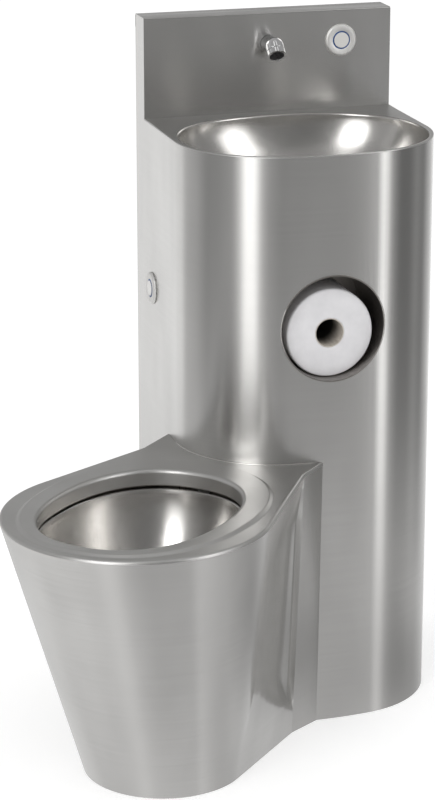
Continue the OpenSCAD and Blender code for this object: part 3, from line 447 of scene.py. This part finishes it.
def arc(centre, radius, start, end, count):
    """Points along an arc in degrees, without its last one."""
    turns = [math.radians(mix(start, end, k / count)) for k in range(count)]
    return [(centre[0] + radius * math.cos(t), centre[1] + radius * math.sin(t)) for t in turns]


def oval(a, b, share, turn):
    """A point of an oval that is a little squarer than an ellipse."""
    c, s = math.cos(math.radians(turn)), math.sin(math.radians(turn))
    return (a * math.copysign(abs(c) ** (2 / share), c), b * math.copysign(abs(s) ** (2 / share), s))


def column_outline(inset, back=0.0):
    """The column's plan from its right back edge round the front to its left back edge."""
    blend = math.degrees(math.atan2(FRONT_CY + SIDE_FLAT, CORNER_X))
    side = UNIT_W / 2 - inset
    flats = [-(SPLASH_D - SHEET), -100, -160]
    return ([(side, back)] + [(side, y) for y in flats if y < back]
            + arc((CORNER_X, -SIDE_FLAT), CORNER_R - inset, 0, -blend, 56)
            + arc((0, FRONT_CY), FRONT_R - inset, -blend, blend - 180, 14)
            + arc((-CORNER_X, -SIDE_FLAT), CORNER_R - inset, blend - 180, -180, 56)
            + [(-side, -SIDE_FLAT)] + [(-side, y) for y in reversed(flats) if y < back] + [(-side, back)])


def lift(path, z):
    return [(x, y, z) for x, y in path]


def column_solid(inset, low, high, back=0.0):
    solid = pull("column_solid", [lift(column_outline(inset, back), low), lift(column_outline(inset, back), high)])
    cap(solid, low, high)
    face_towards(solid, (0, -200, (low + high) / 2), away=True)
    return solid


def from_pan(place):
    """A point of the pan, given along and across its axis, in the unit's frame."""
    u, v, z = place
    return (u * math.cos(PAN_HEADING) - v * math.sin(PAN_HEADING), -PAN_ROOT + u * math.sin(PAN_HEADING) + v * math.cos(PAN_HEADING), z)


def up(z):
    return z / RIM_Z


def round_u(z):
    return mix(FOOT_U, RIM_U, up(z))


def round_r(z):
    return mix(FOOT_R, RIM_R, up(z))


def neck_w(z):
    return mix(NECK_FOOT_V, NECK_V, up(z))


def touch(z):
    """Where a line from the side plate's end touches the round front."""
    run = round_u(z) - PLATE_U
    reach = math.hypot(run, neck_w(z))
    return 90 + math.degrees(math.atan2(-neck_w(z), run)) + math.degrees(math.asin(round_r(z) / reach))


def opened(z):
    t = min(max((z - HOLLOW_Z0) / (HOLLOW_Z1 - HOLLOW_Z0), 0), 1)
    return t * t * (3 - 2 * t)


def hollow(z, t):
    """How deep the hollow is at a height and a share of its width; it drops straight off the plate.

    The factor 3.08 makes it HOLLOW_DEPTH deep at its deepest, a quarter of the way across.
    """
    start = min(max((z - mix(HOLLOW_Z0, HOLLOW_Z1, t)) / HOLLOW_RUN, 0), 1)
    t = max(t, 0.05)
    return HOLLOW_DEPTH * 3.08 * math.sqrt(t) * (1 - t) ** 1.5 * start * min(1, (RIM_Z - z) / (RIM_Z - HOLLOW_Z2))


def half_outline(z):
    """One half of the skirt at a height: the neck, the side plate, the hollow and the round front."""
    crease = mix(touch(z), CREASE_TURN, opened(z))
    p = Vector((PLATE_U, neck_w(z)))
    turn = math.radians(crease)
    k = Vector((round_u(z) + round_r(z) * math.cos(turn), round_r(z) * math.sin(turn)))
    side = (k - p).normalized()
    out = Vector((side.y, -side.x))
    flare = neck_w(z) + (1 - up(z)) * NECK_FLARE
    points = [Vector((NECK_U, flare)), Vector((mix(NECK_U, PLATE_U, 0.5), (flare + neck_w(z)) / 2)), p]
    points += [p.lerp(k, t) + out * hollow(z, t) for t in HOLLOW_COLS]
    for s in range(41):
        t = math.radians(crease * (1 - s / 40))
        points.append(Vector((round_u(z) + round_r(z) * math.cos(t), round_r(z) * math.sin(t))))
    return points


def pan_outline(z):
    half = half_outline(z)
    return [(p.x, p.y) for p in half] + [(p.x, -p.y) for p in reversed(half[:-1])]


def divide(a, b, count):
    return [mix(a, b, k / count) for k in range(count)]


PLATE_TURN = math.degrees(math.atan2(NECK_V, PLATE_U - RIM_U))
END_TURN = math.degrees(math.atan2(NECK_V, NECK_U - RIM_U))
HALF_TURNS = (divide(0, touch(RIM_Z), 44) + divide(touch(RIM_Z), PLATE_TURN, 14)
              + divide(PLATE_TURN, END_TURN, 8) + divide(END_TURN, 180, 6))
TURNS = HALF_TURNS + [180] + [360 - t for t in reversed(HALF_TURNS[1:])]


def rim_reach(turn):
    """How far the rim lies from the middle of its round front in a direction."""
    a = abs(turn - 360 if turn > 180 else turn)
    if a <= touch(RIM_Z):
        return RIM_R
    if a <= PLATE_TURN:
        return RIM_R / math.cos(math.radians(a - touch(RIM_Z)))
    if a <= END_TURN:
        return NECK_V / math.sin(math.radians(a))
    return (RIM_U - NECK_U) / -math.cos(math.radians(a))


def rim_row(inset, z):
    row = []
    for t in TURNS:
        r = rim_reach(t) - inset
        row.append(from_pan((RIM_U + r * math.cos(math.radians(t)), r * math.sin(math.radians(t)), z)))
    return row


def oval_row(middle, a, b, share, z):
    row = []
    for t in TURNS:
        x, y = oval(a, b, share, t)
        row.append(from_pan((middle + x, y, z)))
    return row


# ---------------------------------------------------------------- column
def make_column():
    """The wrapped sheet with two ears beside the splashback, the recess hole and the opening into the pan."""
    outline = column_outline(0)
    column = pull("wrapped_column", [lift(outline, 0), lift(outline, DECK_Z - SHEET)], closed=False)
    # The top edges beside the splashback are drawn up into its two ears
    select_edges(column, lambda place: place.z > 0.887 and place.y > -0.0465)
    bpy.ops.mesh.extrude_region_move(TRANSFORM_OT_translate={"value": (0, 0, (TOP_Z - DECK_Z) * 0.001)})
    bpy.ops.object.mode_set(mode="OBJECT")
    face_towards(column, (0, -200, 450), away=True)
    thicken(column, SHEET)
    cut(column, drill(RECESS_D / 2 + SHEET + 0.1, 120, (0, FRONT_Y + 40, RECESS_Z)))
    cut(column, drill(BUTTON_HOLE_R, 20, (-UNIT_W / 2, FLUSH_BUTTON_Y, FLUSH_BUTTON_Z), "X", 48))
    deselect()
    bpy.ops.mesh.primitive_cube_add(size=1, location=metres(from_pan((WINDOW_U, 0, WINDOW_Z))),
                                    rotation=(0, 0, PAN_HEADING), scale=[side * 0.001 for side in WINDOW_SIZE])
    window = bpy.context.object
    cut(column, window)
    finish(column, "brushed_steel", stands_for=("column_shell",), smooth=20)


def make_deck():
    """The deck with its edge dressed round and the opening for the basin."""
    deck = column_solid(0, DECK_Z - SHEET, DECK_Z, -(SPLASH_D - SHEET))
    deck.name = deck.data.name = "basin_deck"
    # The top edges in front of the splashback are dressed round
    select_edges(deck, lambda place: place.z > 0.8895 and place.y < -0.0462)
    bpy.ops.mesh.bevel(offset=0.0013, segments=3, affect="EDGES")
    bpy.ops.object.mode_set(mode="OBJECT")
    ring = [oval(BASIN_A + 3, BASIN_B + 3, BASIN_SHARE, t * 2) for t in range(180)]
    ring = [(x, y - BASIN_Y) for x, y in ring]
    plug = pull("plug", [lift(ring, DECK_Z - 5), lift(ring, DECK_Z + 5)])
    cap(plug, DECK_Z - 5, DECK_Z + 5)
    face_towards(plug, (0, -BASIN_Y, DECK_Z), away=True)
    cut(deck, plug)
    finish(deck, "satin_steel", stands_for=("deck_plate",), smooth=35)


def make_splashback():
    """The folded splashback: front, rounded fold, top and back flange."""
    r = 2.5
    path = [(-SPLASH_D, DECK_Z), (-SPLASH_D, TOP_Z - r)]
    for t in (22, 45, 67, 90):
        s, c = math.sin(math.radians(t)), math.cos(math.radians(t))
        path.append((-SPLASH_D + r - r * c, TOP_Z - r + r * s))
    path += [(-1, TOP_Z), (0, TOP_Z - 1), (0, TOP_Z - 20)]
    xs = [-UNIT_W / 2, -UNIT_W / 2 + 0.8, -120, -40, 40, 120, UNIT_W / 2 - 0.8, UNIT_W / 2]
    panel = pull("folded_splashback", [[(x, y, z) for y, z in path] for x in xs], closed=False)
    face_towards(panel, (0, -20, 900), away=True)
    thicken(panel, SHEET)
    cut(panel, drill(SPOUT_HOLE_R, 20, (0, -SPLASH_D, SPOUT_Z), "Y", 64))
    cut(panel, drill(BUTTON_HOLE_R, 20, (TAP_BUTTON_X, -SPLASH_D, SPOUT_Z), "Y", 64))
    soften(panel, 0.5, 2, 60)
    finish(panel, "brushed_steel", stands_for=("splashback_panel",), smooth=35)


def basin_ring(a, b, share, z, grow=0.0):
    places = [oval(a + grow, b + grow, share, t * 3) for t in range(120)]
    return [(x, y - BASIN_Y, DECK_Z - SHEET + z) for x, y in places]


def make_basin():
    """The pressed basin: a rounded lip level with the deck, then one curve down to the waste."""
    rings = []
    for t in (0, 18, 36, 54, 72, 90):
        s, c = math.sin(math.radians(t)), math.cos(math.radians(t))
        rings.append(basin_ring(BASIN_A, BASIN_B, BASIN_SHARE, -1 + 3 * c, 3 - 3 * s))
    rings.append(basin_ring(BASIN_A, BASIN_B, BASIN_SHARE, -4))
    for k in range(1, 28):
        t = k * 3
        c, s = math.cos(math.radians(t)) ** BASIN_CURVE, math.sin(math.radians(t)) ** BASIN_CURVE
        a, b = mix(WASTE_R, BASIN_A, c), mix(WASTE_R, BASIN_B, c)
        rings.append(basin_ring(a, b, mix(BASIN_SHARE, 2, t / 90), -4 - (BASIN_DEPTH - 4) * s))
    rings.append(basin_ring(WASTE_R, WASTE_R, 2, -BASIN_DEPTH))
    rings.append(basin_ring(WASTE_HOLE_R, WASTE_HOLE_R, 2, -BASIN_DEPTH))
    bowl = pull("pressed_basin", rings)
    face_towards(bowl, (0, -BASIN_Y, DECK_Z + 400))
    thicken(bowl, BOWL_T)
    finish(bowl, "polished_steel", stands_for=("basin_bowl",), smooth=40)


# ---------------------------------------------------------------- pan
def make_skirt():
    """The tapered skirt with its neck plates and the hollow beside each plate."""
    heights = [0, 14, 28, 41] + [mix(HOLLOW_Z0, HOLLOW_Z1, k / 10) for k in range(1, 11)]
    heights += [mix(HOLLOW_Z1, HOLLOW_Z2, k / 8) for k in range(1, 9)]
    heights += [mix(HOLLOW_Z2, RIM_Z, k / 4) for k in range(1, 5)]
    rings = [[from_pan((u, v, z)) for u, v in pan_outline(z)] for z in heights]
    skirt = pull("pan_skirt_sheet", rings, closed=False)
    face_towards(skirt, from_pan((400, 0, 210)), away=True)
    thicken(skirt, SHEET)
    cut(skirt, column_solid(-0.8, -10, SEAT_Z + 10, 5))
    finish(skirt, "brushed_steel", stands_for=("pan_skirt",), smooth=12)


def make_seat():
    """The pressed top: rolled edge, raised seat with a soft step, and the lip turned down into the bowl."""
    top = SEAT_Z + SEAT_RISE
    rings = []
    for t in (0, 22.5, 45, 67.5, 90):
        s, c = math.sin(math.radians(t)), math.cos(math.radians(t))
        rings.append(rim_row(EDGE_R * (1 - c), RIM_Z + EDGE_R * s))
    for k in range(9):
        t = k / 8
        shift = mix(STEP_W / 2, -STEP_W / 2, t)
        rise = SEAT_RISE * t * t * (3 - 2 * t)
        rings.append(oval_row(STEP_U, STEP_A + shift, STEP_B + shift, STEP_SHARE, SEAT_Z + rise))
    for t in (0, 18, 36, 54, 72, 90):
        s, c = math.sin(math.radians(t)), math.cos(math.radians(t))
        lip = LIP_R * (1 - s)
        rings.append(oval_row(MOUTH_U, MOUTH_A + lip, MOUTH_B + lip, MOUTH_SHARE, top - LIP_R * (1 - c)))
    rings.append(oval_row(MOUTH_U, MOUTH_A + LIP_LEAN, MOUTH_B + LIP_LEAN, MOUTH_SHARE, LIP_Z))
    seat = pull("pressed_seat", rings)
    face_towards(seat, from_pan((400, 0, 900)))
    thicken(seat, SHEET - 0.3)
    cut(seat, column_solid(-0.1, RIM_Z - 40, top + 20, 5))
    finish(seat, "satin_steel", stands_for=("pan_top",), smooth=35)


def make_bowl():
    """The pressed bowl of the pan with a channel round its rim and its outlet set back."""
    def ring(middle, a, b, z, share):
        return [from_pan((middle + x, y, z)) for x, y in (oval(a, b, share, t * 3) for t in range(120))]
    rings = [ring(MOUTH_U, MOUTH_A + CHANNEL_W, MOUTH_B + CHANNEL_W, CHANNEL_Z, MOUTH_SHARE),
             ring(MOUTH_U, MOUTH_A + 9, MOUTH_B + 9, CHANNEL_Z, MOUTH_SHARE),
             ring(MOUTH_U, MOUTH_A + 5, MOUTH_B + 5, mix(CHANNEL_Z, BOWL_Z, 0.75), MOUTH_SHARE),
             ring(MOUTH_U, MOUTH_A + 3, MOUTH_B + 3, BOWL_Z, MOUTH_SHARE),
             ring(MOUTH_U, MOUTH_A + 1, MOUTH_B + 1, BOWL_Z - 1.5, MOUTH_SHARE),
             ring(MOUTH_U, MOUTH_A, MOUTH_B, BOWL_Z - LIP_R, MOUTH_SHARE)]
    for k in range(1, 29):
        t = k * 2.6
        c, s = math.cos(math.radians(t)), math.sin(math.radians(t))
        width = c ** PAN_CURVE
        rings.append(ring(mix(MOUTH_U, OUTLET_U, 1 - c), mix(OUTLET_R, MOUTH_A, width), mix(OUTLET_R, MOUTH_B, width),
                          mix(BOWL_Z - LIP_R, TRAP_Z, s ** PAN_CURVE), mix(MOUTH_SHARE, 2, t / 90)))
    rings.append(ring(OUTLET_U, OUTLET_R, OUTLET_R, TRAP_Z + 6, 2))
    rings.append(ring(OUTLET_U, OUTLET_R, OUTLET_R, TRAP_Z, 2))
    bowl = pull("pressed_pan_bowl", rings)
    face_towards(bowl, from_pan((460, 0, 700)))
    thicken(bowl, BOWL_T)
    finish(bowl, "polished_steel", stands_for=("pan_bowl",), smooth=40)


def bead(name, line, across, size, closed=False):
    """A dressed weld bead along a line of places; across gives the way square to it at each place."""
    rings = []
    turns = [t * math.tau / 8 for t in range(8)]
    for k, place in enumerate(line):
        place, side = Vector(place), Vector(across(k)).normalized()
        if closed:
            ahead = Vector(line[(k + 1) % len(line)]) - Vector(line[k - 1])
            rise, r = side.cross(ahead).normalized(), size
        else:
            # An open bead runs out thin at both ends
            rise, r = Vector((0, 0, 1)), size * min(1, 0.35 + min(k, len(line) - 1 - k) * 0.25)
        rings.append([tuple(place + side * r * math.cos(t) + rise * r * math.sin(t)) for t in turns])
    if closed:
        rings.append(rings[0])
    piece = pull(name, rings)
    select_edges(piece, lambda place: True)
    if closed:
        bpy.ops.mesh.select_all(action="SELECT")
        bpy.ops.mesh.remove_doubles(threshold=1e-6)
    else:
        bpy.ops.mesh.select_all(action="DESELECT")
        bpy.ops.mesh.select_non_manifold()
        bpy.ops.mesh.edge_face_add()
    bpy.ops.mesh.select_all(action="SELECT")
    bpy.ops.mesh.normals_make_consistent(inside=False)
    bpy.ops.object.mode_set(mode="OBJECT")
    finish(piece, "polished_steel", smooth=60)


def make_seat_weld():
    """The dressed weld where the seat meets the column."""
    path = [(x, y) for x, y in column_outline(-0.6) if y < -60 and x < 60]
    s, c = math.sin(PAN_HEADING), math.cos(PAN_HEADING)
    across = [(-x * s + (y + PAN_ROOT) * c, x, y) for x, y in path]
    line = [(x, y, SEAT_Z) for v, x, y in across if abs(v) < NECK_V - 3]

    def square(k):
        a, b = line[max(k - 1, 0)], line[min(k + 1, len(line) - 1)]
        return (a[1] - b[1], b[0] - a[0], 0)
    bead("seat_weld", line, square, SEAT_WELD)


def make_recess_weld():
    """The dressed weld round the mouth of the paper recess, which follows the column's round front."""
    r = RECESS_D / 2 + 1.2
    line = []
    for k in range(96):
        x, z = r * math.cos(math.tau * k / 96), r * math.sin(math.tau * k / 96)
        line.append((x, FRONT_CY - math.sqrt(FRONT_R ** 2 - x ** 2) + 0.45, RECESS_Z + z))

    def outward(k):
        return (math.cos(math.tau * k / 96), 0, math.sin(math.tau * k / 96))
    bead("recess_weld", line, outward, RECESS_WELD, closed=True)


# ---------------------------------------------------------------- roll recess
def make_recess():
    """The sleeve of the recess, dressed round where it meets the column's front."""
    r = RECESS_D / 2
    mouth, back = -FRONT_Y + 30, -FRONT_Y - 120
    profile = [(r, mouth), (r + SHEET, mouth), (r + SHEET, back), (r, back)]
    sleeve = turned("recess_sleeve", profile, (0, 0, RECESS_Z), 128)
    cut(sleeve, column_solid(-0.7, RECESS_Z - 120, RECESS_Z + 120), "INTERSECT")
    soften(sleeve, 0.7, 3, 50)
    finish(sleeve, "dark_steel", stands_for=("recess_liner",), smooth=40)


def make_roll():
    """The paper roll with its soft edges, the loose end of the sheet, and its card core."""
    front = -(ROLL_BACK_Y - ROLL_W)
    back = -ROLL_BACK_Y
    r = ROLL_D / 2
    hole = CORE_D / 2 + CORE_T
    profile = [(hole, back + 0.5), (hole + 1, back), (r - 3, back), (r - 1, back + 0.8), (r, back + 3),
               (r - 0.4, (front + back) / 2), (r, front - 4), (r - 0.7, front - 1.6), (r - 2.6, front - 0.3),
               (r - 12, front), (r - 26, front - 0.5),
               (hole + 6, front - 0.2), (hole + 1, front - 0.5), (hole, front - 1.2)]
    roll = turned("paper_roll", profile, (0, 0, ROLL_Z), 128)
    finish(roll, "paper", "toilet_roll", stands_for=("toilet_roll",), smooth=60)
    leaf_rings = []
    leaf_r = r + 0.15
    turns = [math.radians(t) for t in range(58, 125, 3)]
    for y in (-front + 1.5, -(front + back) / 2, -back - 1.5):
        leaf_rings.append([(leaf_r * math.cos(t), y, ROLL_Z + leaf_r * math.sin(t)) for t in turns])
    leaf = pull("paper_end", leaf_rings, closed=False)
    face_towards(leaf, (0, -300, ROLL_Z), away=True)
    thicken(leaf, 0.3)
    finish(leaf, "paper", "toilet_roll", smooth=60)
    bore = CORE_D / 2
    profile = [(bore, back + 0.4), (bore + 0.4, back + 0.2), (hole - 0.2, back + 0.2), (hole - 0.05, back + 0.4),
               (hole - 0.05, front - 1.4), (hole - 0.4, front - 1.1), (bore + 0.3, front - 1.1), (bore, front - 1.4)]
    core = turned("card_core", profile, (0, 0, ROLL_Z), 96)
    finish(core, "core_card", "roll_core", stands_for=("roll_core",), smooth=60)


# ---------------------------------------------------------------- kept nodes
def dress(node, material, body="unit", bevel=0.0):
    """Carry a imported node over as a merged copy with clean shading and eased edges."""
    piece = node_copy(node)
    if bevel:
        modify(piece, "DECIMATE", decimate_type="DISSOLVE", angle_limit=math.radians(0.5))
        soften(piece, bevel, 2, 50)
    finish(piece, material, body, stands_for=(node,))


make_column()
make_deck()
make_splashback()
make_basin()
make_skirt()
make_seat()
make_bowl()
make_seat_weld()
make_recess()
make_recess_weld()
make_roll()

for node, material, bevel in (
        ("spout", "chrome", 0.4), ("aerator_ring", "chrome", 0.4), ("aerator_insert", "dark_plastic", 0.0),
        ("tap_halo", "blue_ring", 0.0), ("flush_halo", "blue_ring", 0.0),
        ("basin_strainer", "polished_steel", 0.3), ("recess_back", "dark_steel", 0.0),
        ("flush_rim", "dark_steel", 0.0), ("back_frame", "plain_steel", 0.0),
        ("floor_angle_left", "plain_steel", 0.5), ("floor_angle_right", "plain_steel", 0.5),
        ("basin_trap", "pipe_plastic", 0.0), ("trap_union_nuts", "pipe_plastic", 0.6),
        ("pan_trap", "pipe_plastic", 0.0), ("soil_pipe", "pipe_plastic", 0.0),
        ("strainer_nut", "pipe_plastic", 0.6), ("strainer_gasket", "black_rubber", 0.0),
        ("soil_seal", "black_rubber", 0.0), ("spout_gasket", "black_rubber", 0.0), ("spout_nut", "brass", 0.5),
        ("tap_switch", "dark_plastic", 0.3), ("tap_button_nut", "dark_plastic", 0.5),
        ("flush_switch", "dark_plastic", 0.3), ("flush_button_nut", "dark_plastic", 0.5),
        ("supply_pipe", "brass", 0.0), ("stop_valve", "brass", 0.0), ("flush_valve", "brass", 0.0),
        ("flush_pipe", "pipe_plastic", 0.0), ("tap_valve", "brass", 0.0), ("tap_pipe", "brass", 0.0),
        ("control_box", "box_plastic", 0.0), ("control_box_lid", "box_plastic", 0.8),
        ("control_box_screws", "plain_steel", 0.0), ("pipe_clips", "dark_plastic", 0.0)):
    dress(node, material, bevel=bevel)
dress("tap_bezel", "satin_chrome")
dress("flush_bezel", "satin_chrome")
dress("tap_cap", "pale_cap", "tap_cap")
dress("flush_cap", "pale_cap", "flush_cap")
dress("stop_lever", "lever_paint", "stop_lever")
# Each spring is carried over as a merged copy with a mesh of its own.
for node, joint, axis in (("tap_spring", "tap_press", 1), ("flush_spring", "flush_press", 0)):
    spring = node_copy(node)
    finish(spring, "plain_steel", stands_for=(node,))
    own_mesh(spring)


# ---------------------------------------------------------------- studio
def seen_plainly(tree):
    """1 where the camera, metal or glass looks at the background, and 0 where it only lights the object."""
    path = put(tree, "ShaderNodeLightPath").outputs
    either = {"operation": "MAXIMUM"}
    seen = put(tree, "ShaderNodeMath", either, n0=path["Is Camera Ray"], n1=path["Is Glossy Ray"])
    return put(tree, "ShaderNodeMath", either, n0=seen.outputs[0], n1=path["Is Transmission Ray"]).outputs[0]


def make_floor():
    """A plain white floor that keeps the object's shadow; metal sees the studio's walls past it."""
    deselect()
    bpy.ops.mesh.primitive_plane_add(size=14, location=(0, 0, -0.0005))
    floor = bpy.context.object
    floor.name = "studio_floor"
    bpy.ops.object.mode_set(mode="EDIT")
    bpy.ops.mesh.subdivide(number_cuts=3)
    bpy.ops.object.mode_set(mode="OBJECT")
    tree, shader, where = new_material("white_floor", "#F4F4F4")
    faint = grain(tree, where, (2, 2, 2), 1.0)
    tone = put(tree, "ShaderNodeMix", BLEND, n0=faint, n6=hex_colour("#F6F6F6"), n7=hex_colour("#F3F3F3"))
    tree.links.new(tone.outputs[2], shader.inputs["Base Color"])
    shader.inputs["Roughness"].default_value = 1.0
    shader.inputs["Specular IOR Level"].default_value = 0.0
    lift_up = put(tree, "ShaderNodeMapRange", Value=seen_plainly(tree), n3=0.0, n4=0.36)
    shader.inputs["Emission Color"].default_value = grey(1.0)
    tree.links.new(lift_up.outputs[0], shader.inputs["Emission Strength"])
    floor.data.materials.append(MATERIALS["white_floor"])
    floor.visible_glossy = False


# Brightness of the studio's walls by bearing, from the front round to the right; 1 is white.
# Two tall soft lamps stand 42 degrees to either side of the front.
LOW_WALL = [(-180, 1.0), (-142, 1.0), (-132, 0.62), (-112, 0.5), (-96, 0.28), (-80, 0.3), (-62, 0.4),
            (-53, 0.7), (-47, 1.8), (-37, 1.8), (-31, 0.85), (-22, 0.5), (-8, 0.36), (10, 0.38), (26, 0.4),
            (35, 0.5), (40, 1.45), (45, 1.45), (51, 0.4), (64, 0.16), (80, 0.18), (92, 0.33), (108, 0.22),
            (120, 0.5), (132, 0.7), (142, 1.0), (180, 1.0)]
HIGH_WALL = [(-180, 0.45), (-120, 0.5), (-60, 0.4), (-48, 2.2), (-37, 2.2), (-28, 0.3), (0, 0.2),
             (30, 0.24), (39, 2.2), (46, 2.2), (54, 0.3), (90, 0.3), (130, 0.45), (180, 0.45)]
CEILING = [(-180, 0.4), (-60, 0.36), (-50, 1.1), (-36, 1.1), (-26, 0.36), (30, 0.36), (38, 1.0), (48, 1.0),
           (60, 0.36), (180, 0.4)]


def make_wall(name, rims, stops):
    """A round studio wall or ceiling, seen only in the metal; a rim is its radius and height."""
    turns = [math.tau * k / 72 for k in range(72)]
    wall = pull(name, [[(out * math.sin(t), -out * math.cos(t), z) for t in turns] for out, z in rims])
    material = bpy.data.materials.new(name)
    material.use_nodes = True
    tree = material.node_tree
    tree.nodes.remove(tree.nodes["Principled BSDF"])
    where = put(tree, "ShaderNodeTexCoord").outputs["Object"]
    bearing = put(tree, "ShaderNodeTexGradient", {"gradient_type": "RADIAL"}, Vector=where).outputs[1]
    placed = sorted((((turn + 90) / 360) % 1, value) for turn, value in stops if turn < 180)
    shades = [(place, grey(value * 0.25)) for place, value in placed]
    tone = ramp(put(tree, "ShaderNodeValToRGB", Fac=bearing), shades)
    light = put(tree, "ShaderNodeEmission", Color=tone.outputs[0], Strength=4.0)
    tree.links.new(light.outputs[0], tree.nodes["Material Output"].inputs["Surface"])
    wall.data.materials.append(material)
    wall.visible_camera = wall.visible_diffuse = wall.visible_shadow = wall.visible_transmission = False


def make_glow():
    """The white floor as the metal sees it: bright on the left, and in the object's shade on the right."""
    turns = [math.tau * k / 64 for k in range(64)]
    disc = pull("floor_glow", [[(out * math.cos(t) - 300, out * math.sin(t) - 300, 0.1) for t in turns]
                               for out in (2400, 1200, 600, 40)])
    material = bpy.data.materials.new("floor_glow")
    material.use_nodes = True
    tree = material.node_tree
    tree.nodes.remove(tree.nodes["Principled BSDF"])
    where = put(tree, "ShaderNodeTexCoord").outputs["Object"]

    def distance(x, y):
        """How far a place on the floor is from x, y."""
        moved = put(tree, "ShaderNodeVectorMath", {"operation": "SUBTRACT"}, n0=where, n1=(x, y, 0)).outputs[0]
        return put(tree, "ShaderNodeVectorMath", {"operation": "LENGTH"}, n0=moved).outputs[1]

    fade = put(tree, "ShaderNodeMapRange", Value=distance(-0.2, -0.3), n1=0.8, n2=1.9, n3=0.75, n4=0.0)
    shade = put(tree, "ShaderNodeMapRange", Value=distance(0.3, -0.42), n1=0.05, n2=0.36, n3=0.4, n4=0.74)
    left = put(tree, "ShaderNodeMapRange", Value=distance(-1.2, -0.5), n1=0.2, n2=0.9, n3=0.35, n4=0.0)
    front = put(tree, "ShaderNodeMapRange", Value=distance(-0.35, -1.1), n1=0.15, n2=0.6, n3=-0.3, n4=0.0)
    light = put(tree, "ShaderNodeMath", {"operation": "ADD"}, n0=shade.outputs[0], n1=left.outputs[0])
    light = put(tree, "ShaderNodeMath", {"operation": "ADD"}, n0=light.outputs[0], n1=front.outputs[0])
    white = put(tree, "ShaderNodeEmission", Color=grey(1.0), Strength=light.outputs[0])
    clear = put(tree, "ShaderNodeBsdfTransparent")
    blended = put(tree, "ShaderNodeMixShader", Fac=fade.outputs[0], n1=clear.outputs[0], n2=white.outputs[0])
    tree.links.new(blended.outputs[0], tree.nodes["Material Output"].inputs["Surface"])
    disc.data.materials.append(material)
    disc.visible_camera = disc.visible_diffuse = disc.visible_shadow = disc.visible_transmission = False


make_floor()
make_glow()
make_wall("studio_wall_low", ((12000, -14000), (12000, 600)), LOW_WALL)
make_wall("studio_wall_high", ((12000, 600), (12000, 9000)), HIGH_WALL)
make_wall("studio_ceiling", ((12000, 9000), (20, 9000)), CEILING)

world = bpy.data.worlds.new("studio")
scene.world = world
world.use_nodes = True
tree = world.node_tree
level = put(tree, "ShaderNodeMapRange", Value=seen_plainly(tree), n3=0.75, n4=1.0)
back = tree.nodes["Background"]
tree.links.new(level.outputs[0], back.inputs["Strength"])
back.inputs["Color"].default_value = grey(1.0)

for name, place, size, power in (("left_lamp", (-3.0, -3.2, 3.0), 2.2, 42.0),
                                 ("right_lamp", (2.6, -2.6, 2.4), 1.8, 14.0)):
    lamp = bpy.data.lights.new(name, "AREA")
    lamp.size = size
    lamp.energy = power
    holder = bpy.data.objects.new(name, lamp)
    scene.collection.objects.link(holder)
    holder.location = place
    holder.rotation_euler = (Vector((-0.1, -0.3, 0.5)) - Vector(place)).to_track_quat("-Z", "Y").to_euler()

# ---------------------------------------------------------------- camera
# Place, heading, roll and shift were solved from the object's outlines, in metres and degrees
lens = bpy.data.cameras.new("camera")
camera = bpy.data.objects.new("camera", lens)
scene.collection.objects.link(camera)
scene.camera = camera
behind = Vector((-0.30046275, -0.90766175, 0.29303973)).normalized()
level_right = Vector((math.cos(math.radians(-18.32)), math.sin(math.radians(-18.32)), 0))
level_right = (level_right - behind * level_right.dot(behind)).normalized()
level_up = behind.cross(level_right)
roll = math.radians(0.42)
right = level_right * math.cos(roll) + level_up * math.sin(roll)
above = level_up * math.cos(roll) - level_right * math.sin(roll)
place = Matrix((right, above, behind)).transposed().to_4x4()
place.translation = (-1.29962116, -4.07599882, 1.76184992)
camera.matrix_world = place
lens.sensor_width = 36
lens.sensor_fit = "AUTO"
lens.lens = 124.248
lens.shift_x, lens.shift_y = -0.08677, -0.03441
lens.clip_end = 60
scene.view_settings.view_transform = "Standard"

bpy.context.view_layer.update()
